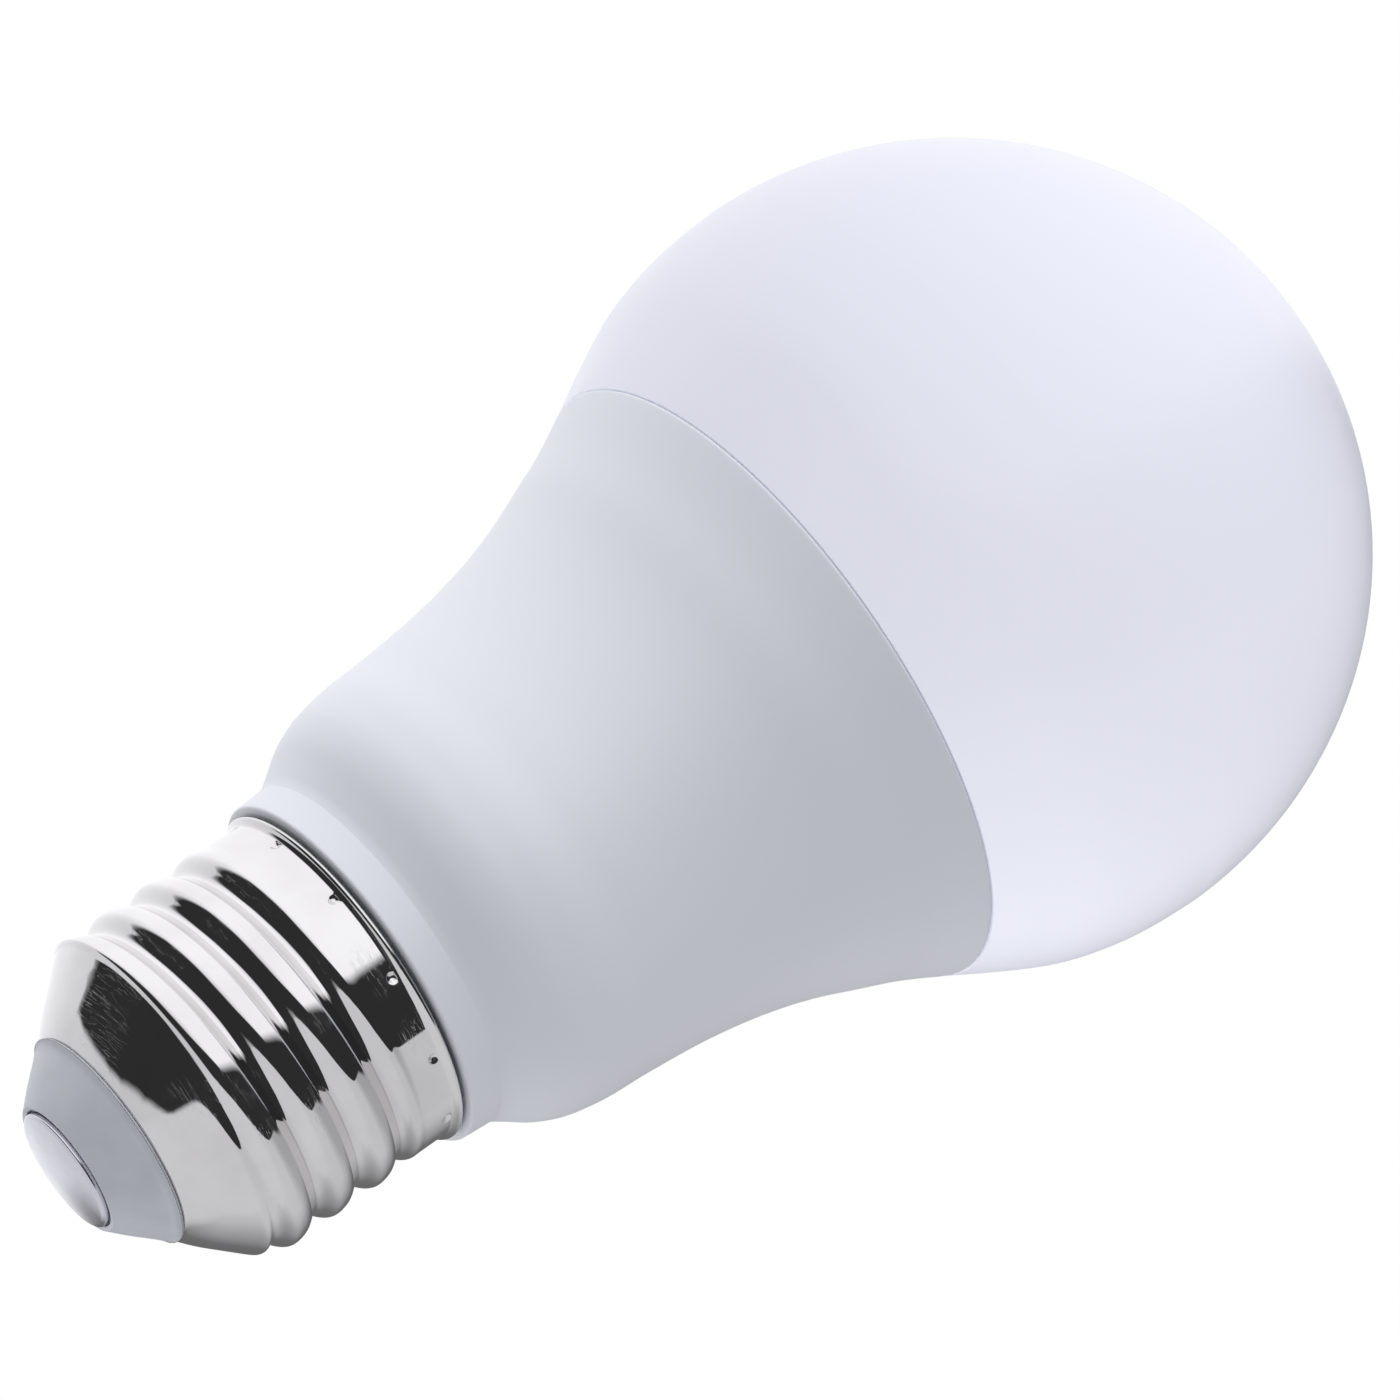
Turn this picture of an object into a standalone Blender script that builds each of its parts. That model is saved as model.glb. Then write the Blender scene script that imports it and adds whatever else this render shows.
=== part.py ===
"""A smart light bulb with a standard 27 mm screw cap, as the separate pieces it is assembled from.

The bulb stands on its cap: +Z runs along its axis from the cap to the top of the globe, and the origin
is the centre of the flat on the centre contact. The diffuser globe is the one piece that can be pulled
off, straight up. Lengths in this file are millimetres, and the mesh builders turn them into metres.
"""

import math

import bmesh
import bpy
import numpy as np
from mathutils import Matrix

MM = 0.001
GAP = 0.3

# Outside of the bulb
GLOBE_RADIUS = 30.0
GLOBE_CENTRE_Z = 79.5
GLOBE_WALL = 1.2
GLOBE_FOOT_Z = 62.9
SEAM_RADIUS = 24.7
LIP_TOP_Z = 62.6
COLLAR_BASE_Z = 25.05
COLLAR_BASE_RADIUS = 13.65
COLLAR_TOP_Z = 27.5
COLLAR_TOP_RADIUS = 13.9

# Places the outside curves pass through, as (height, radius)
HOUSING_CURVE = [
    (28.0, 14.1), (29.2, 14.9), (30.5, 15.82), (32.0, 16.55), (34.5, 17.15), (39.0, 17.52),
    (44.0, 18.1), (50.0, 19.6), (56.0, 21.9), (60.0, 23.3), (LIP_TOP_Z, 24.55),
]
GLOBE_CURVE = [
    (GLOBE_FOOT_Z, SEAM_RADIUS), (66.0, 26.42), (70.0, 28.36), (74.0, 29.46), (GLOBE_CENTRE_Z, GLOBE_RADIUS),
]

# Screw cap: the E27 form, a right-hand round thread
THREAD_PITCH = 3.629
THREAD_CREST_RADIUS = 13.08
THREAD_DEPTH = 1.0
THREAD_START_Z = 7.65
THREAD_FADE_Z = (20.3, 21.9)
SHELL_WALL = 0.3
SHELL_FOOT_Z = 4.5
SHELL_SKIRT_RADIUS = 12.87
SHELL_FLARE_Z = 23.5
SHELL_RIM_Z = 24.75
SHELL_RIM_RADIUS = 13.3
SHELL_CONE = [(SHELL_FOOT_Z, 8.3), (5.0, 8.66), (7.5, 11.1), (9.3, 13.0), (10.0, 14.4), (12.0, 19.0)]

CONTACT_FLAT_RADIUS = 2.6
CONTACT_RADIUS = 4.6
CONTACT_EDGE_Z = 0.55
CONTACT_BACK_Z = 1.05
CONTACT_SHANK_RADIUS = 1.4
CONTACT_SHANK_TOP_Z = 5.0
CONTACT_BORE_RADIUS = 0.7
INSULATOR_NOSE_RADIUS = 5.0
INSULATOR_NOSE_Z = 0.8
INSULATOR_EDGE_RADIUS = 8.35
INSULATOR_EDGE_Z = 4.1
INSULATOR_PLUG_RADIUS = 7.7
INSULATOR_TOP_Z = 6.6

# Housing wall, neck and heat sink
HOUSING_WALL = 1.25
NECK_OUTER_RADIUS = 11.5
NECK_INNER_RADIUS = 10.0
NECK_FOOT_Z = 9.2
NECK_TOP_Z = 26.5
SEAT_FLOOR_Z = 60.7
PLUG_FOOT_Z = 61.0
PLUG_WALL = 1.15
CUP_WALL = 0.85
CUP_FOOT_Z = 34.0
CUP_RIM_Z = 59.8
LEDGE_Z = (57.0, 57.8)
LEDGE_INNER_RADIUS = 13.0
WIRE_GROOVE = (10.6, 1.2, 15.4)

# Light-emitting board
BOARD_Z = (58.7, 59.9)
BOARD_RADIUS = 19.8
SCREW_RING_RADIUS = 17.2
SCREW_ANGLES = [30.0, 150.0, 270.0]
SCREW_SHANK_RADIUS = 0.9
SCREW_HEAD_RADIUS = 1.7
SCREW_HEAD_Z = (60.2, 61.5)
SCREW_TIP_Z = 54.5
WHITE_LED_RING_RADIUS = 12.8
WHITE_LEDS_EACH = 8
WHITE_LED_SIZE = (3.5, 2.8, 0.7)
COLOUR_LED_SIZE = (3.5, 3.5, 0.9)
COLOUR_LED_OFFSET = 6.2
LED_BASE_Z = BOARD_Z[1] + GAP

# Circuit boards, upright in the housing
DRIVER_Y = (-3.6, -2.4)
DRIVER_Z = (10.5, 54.0)
DRIVER_NECK_HALF_WIDTH = 8.9
DRIVER_HALF_WIDTH = 12.5
DRIVER_STEP_Z = 36.0
FRONT_Y = DRIVER_Y[1] + GAP
BACK_Y = DRIVER_Y[0] - GAP
RADIO_Y = (1.6, 2.4)
RADIO_Z = (44.0, 74.0)
RADIO_HALF_WIDTH = 7.0
PIN_PITCH = 2.54
PIN_HALF_WIDTH = 0.3
PIN_ROW_Y = -1.0

# Smoothness of the turned pieces
TURN_STEPS = 32
SMALL_TURN_STEPS = 16
THREAD_ROW = 0.6


def clear_scene():
    for item in list(bpy.data.objects):
        bpy.data.objects.remove(item, do_unlink=True)


def material(name, colour, roughness, metallic=0.0):
    """A Principled material with one colour."""
    made = bpy.data.materials.get(name)
    if made:
        return made
    made = bpy.data.materials.new(name)
    made.use_nodes = True
    shader = made.node_tree.nodes["Principled BSDF"]
    shader.inputs["Base Color"].default_value = (*colour, 1.0)
    shader.inputs["Roughness"].default_value = roughness
    shader.inputs["Metallic"].default_value = metallic
    return made


FINISHES = {
    "opal": ((0.86, 0.87, 0.90), 0.35, 0.0),
    "housing_grey": ((0.66, 0.68, 0.71), 0.42, 0.0),
    "insulator_grey": ((0.36, 0.38, 0.41), 0.45, 0.0),
    "nickel": ((0.82, 0.80, 0.78), 0.12, 1.0),
    "tin": ((0.72, 0.72, 0.74), 0.3, 1.0),
    "aluminium": ((0.75, 0.76, 0.78), 0.4, 1.0),
    "white_board": ((0.85, 0.85, 0.83), 0.4, 0.0),
    "green_board": ((0.03, 0.20, 0.08), 0.4, 0.0),
    "black_board": ((0.03, 0.04, 0.06), 0.4, 0.0),
    "paste": ((0.80, 0.80, 0.80), 0.6, 0.0),
    "silicone": ((0.85, 0.85, 0.86), 0.5, 0.0),
    "steel": ((0.60, 0.60, 0.62), 0.3, 1.0),
    "warm_phosphor": ((0.85, 0.55, 0.12), 0.5, 0.0),
    "cool_phosphor": ((0.90, 0.80, 0.25), 0.5, 0.0),
    "clear_resin": ((0.75, 0.76, 0.72), 0.3, 0.0),
    "black_plastic": ((0.02, 0.02, 0.02), 0.45, 0.0),
    "ferrite": ((0.06, 0.06, 0.065), 0.6, 0.0),
    "winding_tape": ((0.80, 0.62, 0.10), 0.4, 0.0),
    "copper": ((0.75, 0.36, 0.20), 0.3, 1.0),
    "capacitor_sleeve": ((0.03, 0.03, 0.05), 0.3, 0.0),
    "varistor_blue": ((0.04, 0.12, 0.42), 0.35, 0.0),
    "film_yellow": ((0.75, 0.52, 0.08), 0.4, 0.0),
    "resistor_body": ((0.35, 0.42, 0.38), 0.6, 0.0),
    "red_insulation": ((0.55, 0.03, 0.03), 0.4, 0.0),
    "black_insulation": ((0.03, 0.03, 0.03), 0.4, 0.0),
}


def add(name, bm, finish):
    """Turns a bmesh in millimetres into the named object, in metres, with its faces pointing out."""
    bmesh.ops.recalc_face_normals(bm, faces=bm.faces)
    bmesh.ops.scale(bm, vec=(MM, MM, MM), verts=bm.verts)
    mesh = bpy.data.meshes.new(name)
    bm.to_mesh(mesh)
    bm.free()
    mesh.shade_smooth()
    mesh.set_sharp_from_angle(angle=math.radians(35))
    mesh.materials.append(material(finish, *FINISHES[finish]))
    made = bpy.data.objects.new(name, mesh)
    bpy.context.scene.collection.objects.link(made)
    return made


def curve_through(places, heights):
    """Radius at each height on a smooth curve through (height, radius) places: cubic pieces that share
    their slope at each place, which is the slope of the parabola through it and its two neighbours."""
    z, r = np.array(places).T
    step = np.diff(z)
    rise = np.diff(r) / step
    middle = (rise[:-1] * step[1:] + rise[1:] * step[:-1]) / (step[:-1] + step[1:])
    slope = np.concatenate([[rise[0] * 1.5 - middle[0] / 2], middle, [rise[-1] * 1.5 - middle[-1] / 2]])
    heights = np.asarray(heights, float)
    piece = np.clip(np.searchsorted(z, heights, side="right") - 1, 0, len(z) - 2)
    t = (heights - z[piece]) / step[piece]
    return (
        (2 * t**3 - 3 * t**2 + 1) * r[piece]
        + (t**3 - 2 * t**2 + t) * step[piece] * slope[piece]
        + (3 * t**2 - 2 * t**3) * r[piece + 1]
        + (t**3 - t**2) * step[piece] * slope[piece + 1]
    )


def housing_radius(heights):
    return curve_through(HOUSING_CURVE, heights)


def points_along(radii, heights):
    return [(float(r), float(z)) for r, z in zip(radii, heights)]


def turned(name, outline, finish, steps=TURN_STEPS, centre=(0.0, 0.0), closed=True):
    """A solid turned about a vertical line through centre. outline is (radius, height) points round the
    section. It is closed up by itself, or, with closed False, starts and ends on the axis."""
    bm = bmesh.new()
    verts = [bm.verts.new((r, 0.0, z)) for r, z in outline]
    edges = [bm.edges.new(pair) for pair in zip(verts, verts[1:])]
    if closed:
        edges.append(bm.edges.new((verts[-1], verts[0])))
    bmesh.ops.spin(
        bm, geom=verts + edges, cent=(0, 0, 0), axis=(0, 0, 1), angle=2 * math.pi, steps=steps, use_merge=True
    )
    bmesh.ops.remove_doubles(bm, verts=bm.verts, dist=1e-4)
    bmesh.ops.translate(bm, vec=(*centre, 0.0), verts=bm.verts)
    return add(name, bm, finish)


def rounded_can(radius, low, high, soft):
    """Section of an upright can whose top and bottom edges are rounded by a 45 degree facet."""
    return [
        (0.0, low), (radius - soft, low), (radius, low + soft),
        (radius, high - soft), (radius - soft, high), (0.0, high),
    ]


def block_bmesh(low, high):
    low, high = np.array(low, float), np.array(high, float)
    bm = bmesh.new()
    bmesh.ops.create_cube(bm, size=1.0)
    bmesh.ops.scale(bm, vec=high - low, verts=bm.verts)
    bmesh.ops.translate(bm, vec=(low + high) / 2, verts=bm.verts)
    return bm


def block(name, low, high, finish, edge=0.0):
    """A box between two corners, with its edges taken off by edge."""
    bm = block_bmesh(low, high)
    if edge:
        bmesh.ops.bevel(bm, geom=bm.edges[:], offset=edge, segments=1, affect="EDGES")
    return add(name, bm, finish)


def plate(name, outline, y_range, finish):
    """An upright plate: an (x, z) outline given thickness along y."""
    bm = bmesh.new()
    face = bm.faces.new([bm.verts.new((x, y_range[0], z)) for x, z in outline])
    grown = bmesh.ops.extrude_face_region(bm, geom=[face])
    moved = [item for item in grown["geom"] if isinstance(item, bmesh.types.BMVert)]
    bmesh.ops.translate(bm, vec=(0.0, y_range[1] - y_range[0], 0.0), verts=moved)
    return add(name, bm, finish)


def as_tool(tool):
    tool.hide_render = True
    tool.display_type = "WIRE"
    return tool


def boolean(target, tool, operation):
    """Cuts tool from target, or joins it on, with a live Boolean modifier."""
    change = target.modifiers.new(tool.name, "BOOLEAN")
    change.solver = "EXACT"
    change.operation = operation
    change.object = as_tool(tool)


def round_tool(name, centre, radius, low, high):
    outline = [(0.0, low), (radius, low), (radius, high), (0.0, high)]
    return turned(name, outline, "steel", SMALL_TURN_STEPS, centre, closed=False)


# ---------------------------------------------------------------- screw cap


def thread_fade(z):
    """1 over the thread, falling smoothly to 0 where the thread runs out into the plain skirt."""
    t = np.clip((z - THREAD_FADE_Z[0]) / (THREAD_FADE_Z[1] - THREAD_FADE_Z[0]), 0.0, 1.0)
    return 1.0 - t * t * (3.0 - 2.0 * t)


def shell_radius(z, turn):
    """Outer radius of the screw shell at a height and at a turn from 0 to 1 about the axis: a cosine
    wave that climbs one pitch a turn, met by the cone of the foot with the lesser of the two softened."""
    wave = 0.5 + 0.5 * np.cos(2 * np.pi * ((z - THREAD_START_Z) / THREAD_PITCH - turn))
    fade = thread_fade(z)
    crest = SHELL_SKIRT_RADIUS + (THREAD_CREST_RADIUS - SHELL_SKIRT_RADIUS) * fade
    rim = np.clip((z - SHELL_FLARE_Z) / (SHELL_RIM_Z - SHELL_FLARE_Z), 0.0, 1.0)
    thread = crest - THREAD_DEPTH * fade * (1.0 - wave) + (SHELL_RIM_RADIUS - SHELL_SKIRT_RADIUS) * rim**2
    cone = np.interp(z, *np.array(SHELL_CONE).T)
    softness = 0.08
    return -softness * np.log(np.exp(-thread / softness) + np.exp(-cone / softness))


def make_screw_shell():
    """A pressed sheet cup: a ring of sections whose radius follows the thread as it climbs."""
    rows = np.concatenate([
        [SHELL_FOOT_Z, 5.1, 6.3],
        np.arange(7.4, THREAD_FADE_Z[1] + THREAD_ROW, THREAD_ROW),
        [SHELL_FLARE_Z, 24.2, SHELL_RIM_Z],
    ])
    turns = np.arange(TURN_STEPS) / TURN_STEPS
    outer = shell_radius(rows[None, :], turns[:, None])
    radius = np.concatenate([outer, outer[:, ::-1] - SHELL_WALL], axis=1)
    height = np.tile(np.concatenate([rows, rows[::-1]]), (TURN_STEPS, 1))
    angle = 2 * np.pi * turns[:, None]
    points = np.stack([radius * np.cos(angle), radius * np.sin(angle), height], axis=-1)
    bm = bmesh.new()
    grid = [[bm.verts.new(point) for point in section] for section in points]
    for i, section in enumerate(grid):
        following = grid[(i + 1) % TURN_STEPS]
        for j in range(len(section)):
            k = (j + 1) % len(section)
            bm.faces.new((section[j], following[j], following[k], section[k]))
    return add("screw_shell", bm, "nickel")


def make_cap():
    """The cap's three pieces: screw shell, grey insulator and the riveted centre contact."""
    make_screw_shell()
    contact = [
        (0.0, 0.0), (CONTACT_FLAT_RADIUS, 0.0), (3.8, 0.2), (CONTACT_RADIUS - 0.15, CONTACT_EDGE_Z - 0.1),
        (CONTACT_RADIUS, CONTACT_EDGE_Z + 0.1), (CONTACT_RADIUS, CONTACT_BACK_Z),
        (CONTACT_SHANK_RADIUS, CONTACT_BACK_Z), (CONTACT_SHANK_RADIUS, CONTACT_SHANK_TOP_Z),
        (CONTACT_BORE_RADIUS, CONTACT_SHANK_TOP_Z), (CONTACT_BORE_RADIUS, CONTACT_BACK_Z + 0.4),
        (0.0, CONTACT_BACK_Z + 0.4),
    ]
    turned("centre_contact", contact, "tin", 32, closed=False)
    bore = CONTACT_SHANK_RADIUS + GAP
    recess = CONTACT_RADIUS + GAP
    insulator = [
        (bore, CONTACT_BACK_Z + GAP), (recess, CONTACT_BACK_Z + GAP), (recess, INSULATOR_NOSE_Z + 0.15),
        (INSULATOR_NOSE_RADIUS + 0.15, INSULATOR_NOSE_Z), (6.4, 2.05), (7.95, 3.65),
        (INSULATOR_EDGE_RADIUS, INSULATOR_EDGE_Z), (INSULATOR_EDGE_RADIUS - 0.15, SHELL_FOOT_Z - GAP),
        (INSULATOR_PLUG_RADIUS, SHELL_FOOT_Z - GAP), (INSULATOR_PLUG_RADIUS, INSULATOR_TOP_Z),
        (bore, INSULATOR_TOP_Z),
    ]
    turned("cap_insulator", insulator, "insulator_grey")


# ---------------------------------------------------------------- housing and globe


def make_housing():
    """The moulded housing: threaded-in neck, collar and flared body, open at both ends."""
    outside = np.concatenate([[28.0, 28.6], np.arange(29.2, 33.0, 0.85), np.linspace(34.5, LIP_TOP_Z, 11)])
    inside = np.linspace(SEAT_FLOOR_Z - 0.05, 34.5, 8)
    seat = housing_radius([LIP_TOP_Z, SEAT_FLOOR_Z]) - (HOUSING_WALL - 0.15)
    outline = (
        [(NECK_INNER_RADIUS, NECK_FOOT_Z), (NECK_OUTER_RADIUS, NECK_FOOT_Z), (NECK_OUTER_RADIUS, COLLAR_BASE_Z)]
        + [(COLLAR_BASE_RADIUS - 0.15, COLLAR_BASE_Z), (COLLAR_BASE_RADIUS, COLLAR_BASE_Z + 0.15)]
        + [(COLLAR_TOP_RADIUS, COLLAR_TOP_Z - 0.1), (COLLAR_TOP_RADIUS - 0.05, COLLAR_TOP_Z + 0.05)]
        + points_along(housing_radius(outside), outside)
        + points_along(seat, [LIP_TOP_Z, SEAT_FLOOR_Z])
        + points_along(housing_radius(inside) - HOUSING_WALL, inside)
        + [(14.9, 32.4), (13.6, 30.4), (11.6, 28.4), (NECK_INNER_RADIUS, NECK_TOP_Z)]
    )
    housing = turned("housing_shell", outline, "housing_grey")
    groove_floor, groove_width, groove_top = WIRE_GROOVE
    groove = block(
        "wire_groove_cutter",
        (groove_floor, -groove_width / 2, NECK_FOOT_Z - 1.0),
        (NECK_OUTER_RADIUS + 1.0, groove_width / 2, groove_top),
        "housing_grey",
    )
    boolean(housing, groove, "DIFFERENCE")
    for side in (-1, 1):
        for y_low in (DRIVER_Y[0] - GAP - 0.9, DRIVER_Y[1] + GAP):
            ends = sorted((side * (DRIVER_NECK_HALF_WIDTH - 1.0), side * (NECK_OUTER_RADIUS - 0.9)))
            guide = block(
                f"board_guide_{'left' if side < 0 else 'right'}_{'back' if y_low < -3 else 'front'}",
                (ends[0], y_low, NECK_FOOT_Z + 1.6),
                (ends[1], y_low + 0.9, NECK_TOP_Z - 2.0),
                "housing_grey",
            )
            boolean(housing, guide, "UNION")


def make_globe():
    """The opal globe: a 60 mm ball drawn in to a plug that sits inside the housing's rim."""
    low = np.linspace(GLOBE_FOOT_Z, GLOBE_CENTRE_Z, 8)
    swing = np.radians(np.linspace(0, 90, 10))[1:]
    seat = housing_radius([LIP_TOP_Z, PLUG_FOOT_Z]) - (HOUSING_WALL - 0.15) - GAP
    inner_low = np.linspace(GLOBE_CENTRE_Z, GLOBE_FOOT_Z + 1.1, 6)
    inner_radius = GLOBE_RADIUS - GLOBE_WALL
    outline = (
        [(0.0, GLOBE_CENTRE_Z + inner_radius)]
        + points_along(inner_radius * np.cos(swing[-2::-1]), GLOBE_CENTRE_Z + inner_radius * np.sin(swing[-2::-1]))
        + points_along(curve_through(GLOBE_CURVE, inner_low) - GLOBE_WALL - 0.1 * (inner_low < 70), inner_low)
        + [(float(seat[1]) - PLUG_WALL, PLUG_FOOT_Z)]
        + points_along(seat[::-1], [PLUG_FOOT_Z, GLOBE_FOOT_Z])
        + points_along(curve_through(GLOBE_CURVE, low), low)
        + points_along(GLOBE_RADIUS * np.cos(swing[:-1]), GLOBE_CENTRE_Z + GLOBE_RADIUS * np.sin(swing[:-1]))
        + [(0.0, GLOBE_CENTRE_Z + GLOBE_RADIUS)]
    )
    turned("diffuser_globe", outline, "opal", closed=False)


def make_adhesive_bead():
    """The ring of silicone that holds the globe's plug down on the heat sink's rim."""
    radius, height, thickness = 21.0, 60.4, 0.3
    angles = np.radians(np.arange(6) * 60.0)
    ring = points_along(radius + thickness * np.cos(angles), height + thickness * np.sin(angles))
    turned("diffuser_adhesive_bead", ring, "silicone")


def make_heat_sink():
    """The drawn aluminium cup inside the housing, with a ledge for the light-emitting board."""
    gap = HOUSING_WALL + GAP
    wall = np.linspace(CUP_FOOT_Z, CUP_RIM_Z, 8)
    outer = points_along(housing_radius(wall) - gap, wall)
    upper = np.array([CUP_RIM_Z, LEDGE_Z[1]])
    lower = np.linspace(LEDGE_Z[0], CUP_FOOT_Z, 7)
    outline = (
        outer
        + points_along(housing_radius(upper) - gap - CUP_WALL, upper)
        + [(LEDGE_INNER_RADIUS, LEDGE_Z[1]), (LEDGE_INNER_RADIUS, LEDGE_Z[0])]
        + points_along(housing_radius(lower) - gap - CUP_WALL, lower)
    )
    cup = turned("heat_sink_cup", outline, "aluminium")
    for number, centre in enumerate(screw_places(), 1):
        cutter = round_tool(f"ledge_hole_cutter_{number}", centre, SCREW_SHANK_RADIUS + GAP, 56.0, 58.5)
        boolean(cup, cutter, "DIFFERENCE")
    low, high = LEDGE_Z[1] + GAP, BOARD_Z[0] - GAP
    inner = LEDGE_INNER_RADIUS + GAP
    turned("thermal_pad", [(inner, low), (15.4, low), (15.4, high), (inner, high)], "paste")


# ---------------------------------------------------------------- light-emitting board


def ring_places(radius, degrees):
    return [(radius * math.cos(math.radians(a)), radius * math.sin(math.radians(a))) for a in degrees]


def screw_places():
    return ring_places(SCREW_RING_RADIUS, SCREW_ANGLES)


def pin_places():
    return [((i - 1.5) * PIN_PITCH, PIN_ROW_Y) for i in range(4)]


def make_led_board():
    """The round aluminium-core board, cut for the radio board, the header pins and the screws."""
    rim = [(0.0, BOARD_Z[0]), (BOARD_RADIUS, BOARD_Z[0]), (BOARD_RADIUS, BOARD_Z[1]), (0.0, BOARD_Z[1])]
    board = turned("led_board", rim, "white_board", closed=False)
    below, above = BOARD_Z[0] - 1.0, BOARD_Z[1] + 1.0
    slot = block(
        "radio_slot_cutter",
        (-RADIO_HALF_WIDTH - GAP, RADIO_Y[0] - GAP, below),
        (RADIO_HALF_WIDTH + GAP, RADIO_Y[1] + GAP, above),
        "white_board",
    )
    boolean(board, slot, "DIFFERENCE")
    for number, centre in enumerate(screw_places(), 1):
        cutter = round_tool(f"board_hole_cutter_{number}", centre, SCREW_SHANK_RADIUS + GAP, below, above)
        boolean(board, cutter, "DIFFERENCE")
    for number, centre in enumerate(pin_places(), 1):
        cutter = round_tool(f"pin_hole_cutter_{number}", centre, 2.4 * PIN_HALF_WIDTH, below, above)
        boolean(board, cutter, "DIFFERENCE")


def make_screws():
    """Three pan-head screws that pull the board down on the ledge."""
    head_low, head_high = SCREW_HEAD_Z
    outline = [
        (0.0, SCREW_TIP_Z), (SCREW_SHANK_RADIUS, SCREW_TIP_Z + 1.0), (SCREW_SHANK_RADIUS, head_low),
        (SCREW_HEAD_RADIUS, head_low), (SCREW_HEAD_RADIUS, head_low + 0.6), (1.1, head_high - 0.1),
        (0.6, head_high), (0.45, head_low + 0.5), (0.0, head_low + 0.5),
    ]
    for number, centre in enumerate(screw_places(), 1):
        turned(f"board_screw_{number}", outline, "steel", SMALL_TURN_STEPS, centre, closed=False)


def make_led(name, centre, degrees, size, finish):
    """One packaged diode: a low box with a sunken, sloping-sided window for its resin."""
    length, width, height = size
    bm = block_bmesh((-length / 2, -width / 2, 0.0), (length / 2, width / 2, height))
    top = max(bm.faces, key=lambda face: face.calc_center_median().z)
    bmesh.ops.inset_region(bm, faces=[top], thickness=0.4, depth=0.0)
    bmesh.ops.translate(bm, vec=(0, 0, -0.25), verts=top.verts)
    bmesh.ops.rotate(bm, matrix=Matrix.Rotation(math.radians(degrees), 3, "Z"), verts=bm.verts)
    bmesh.ops.translate(bm, vec=(*centre, LED_BASE_Z), verts=bm.verts)
    return add(name, bm, finish)


def make_leds():
    """A ring of warm and cool white diodes in turn, and four colour diodes inside it."""
    spacing = 180.0 / WHITE_LEDS_EACH
    for i in range(2 * WHITE_LEDS_EACH):
        degrees = (i + 0.5) * spacing
        kind = "cool" if i % 2 else "warm"
        place = ring_places(WHITE_LED_RING_RADIUS, [degrees])[0]
        make_led(f"{kind}_led_{i // 2 + 1}", place, degrees, WHITE_LED_SIZE, f"{kind}_phosphor")
    for number, (x, y) in enumerate([(1, 1), (-1, 1), (-1, -1), (1, -1)], 1):
        place = (x * COLOUR_LED_OFFSET, y * COLOUR_LED_OFFSET)
        make_led(f"colour_led_{number}", place, 0.0, COLOUR_LED_SIZE, "clear_resin")


# ---------------------------------------------------------------- circuit boards and their parts


def make_header():
    """The four-pin header that carries power from the driver board up through the round board."""
    header = block("led_board_header", (-5.0, FRONT_Y, 49.5), (5.0, 0.1, 52.0), "black_plastic")
    for number, (x, y) in enumerate(pin_places(), 1):
        pin = block(
            f"header_pin_{number}",
            (x - PIN_HALF_WIDTH, y - PIN_HALF_WIDTH, 48.7),
            (x + PIN_HALF_WIDTH, y + PIN_HALF_WIDTH, 61.4),
            "tin",
        )
        boolean(header, pin, "UNION")


def make_boards():
    """The driver board on edge from the neck to under the ledge, and the radio board in front of it."""
    outline = [
        (-DRIVER_NECK_HALF_WIDTH, DRIVER_Z[0]), (DRIVER_NECK_HALF_WIDTH, DRIVER_Z[0]),
        (DRIVER_NECK_HALF_WIDTH, DRIVER_STEP_Z - 6.0), (DRIVER_HALF_WIDTH, DRIVER_STEP_Z),
        (DRIVER_HALF_WIDTH, DRIVER_Z[1]), (-DRIVER_HALF_WIDTH, DRIVER_Z[1]),
        (-DRIVER_HALF_WIDTH, DRIVER_STEP_Z), (-DRIVER_NECK_HALF_WIDTH, DRIVER_STEP_Z - 6.0),
    ]
    plate("driver_board", outline, DRIVER_Y, "green_board")
    block(
        "radio_board",
        (-RADIO_HALF_WIDTH, RADIO_Y[0], RADIO_Z[0]),
        (RADIO_HALF_WIDTH, RADIO_Y[1], RADIO_Z[1]),
        "black_board",
    )
    block("radio_shield_can", (-5.6, RADIO_Y[1] + GAP, 46.0), (5.6, 5.0, 55.8), "steel", edge=0.3)
    block("radio_header", (-5.0, FRONT_Y, 44.5), (5.0, RADIO_Y[0] - GAP, 47.0), "black_plastic", edge=0.2)


def make_transformer():
    """An E-core pair closed round a taped winding."""
    core = block("transformer_core", (1.5, 0.0, 33.0), (11.5, 5.0, 43.4), "ferrite")
    for number, (x_low, x_high) in enumerate([(2.9, 5.2), (7.8, 10.1)], 1):
        window = block(f"core_window_cutter_{number}", (x_low, -1.0, 34.6), (x_high, 6.0, 41.8), "ferrite")
        boolean(core, window, "DIFFERENCE")
    winding = block("transformer_winding", (3.2, -2.0, 34.9), (9.8, 7.0, 41.5), "winding_tape")
    tunnel = block("winding_tunnel_cutter", (4.9, -GAP, 33.0), (8.1, 5.0 + GAP, 43.0), "winding_tape")
    boolean(winding, tunnel, "DIFFERENCE")


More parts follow.
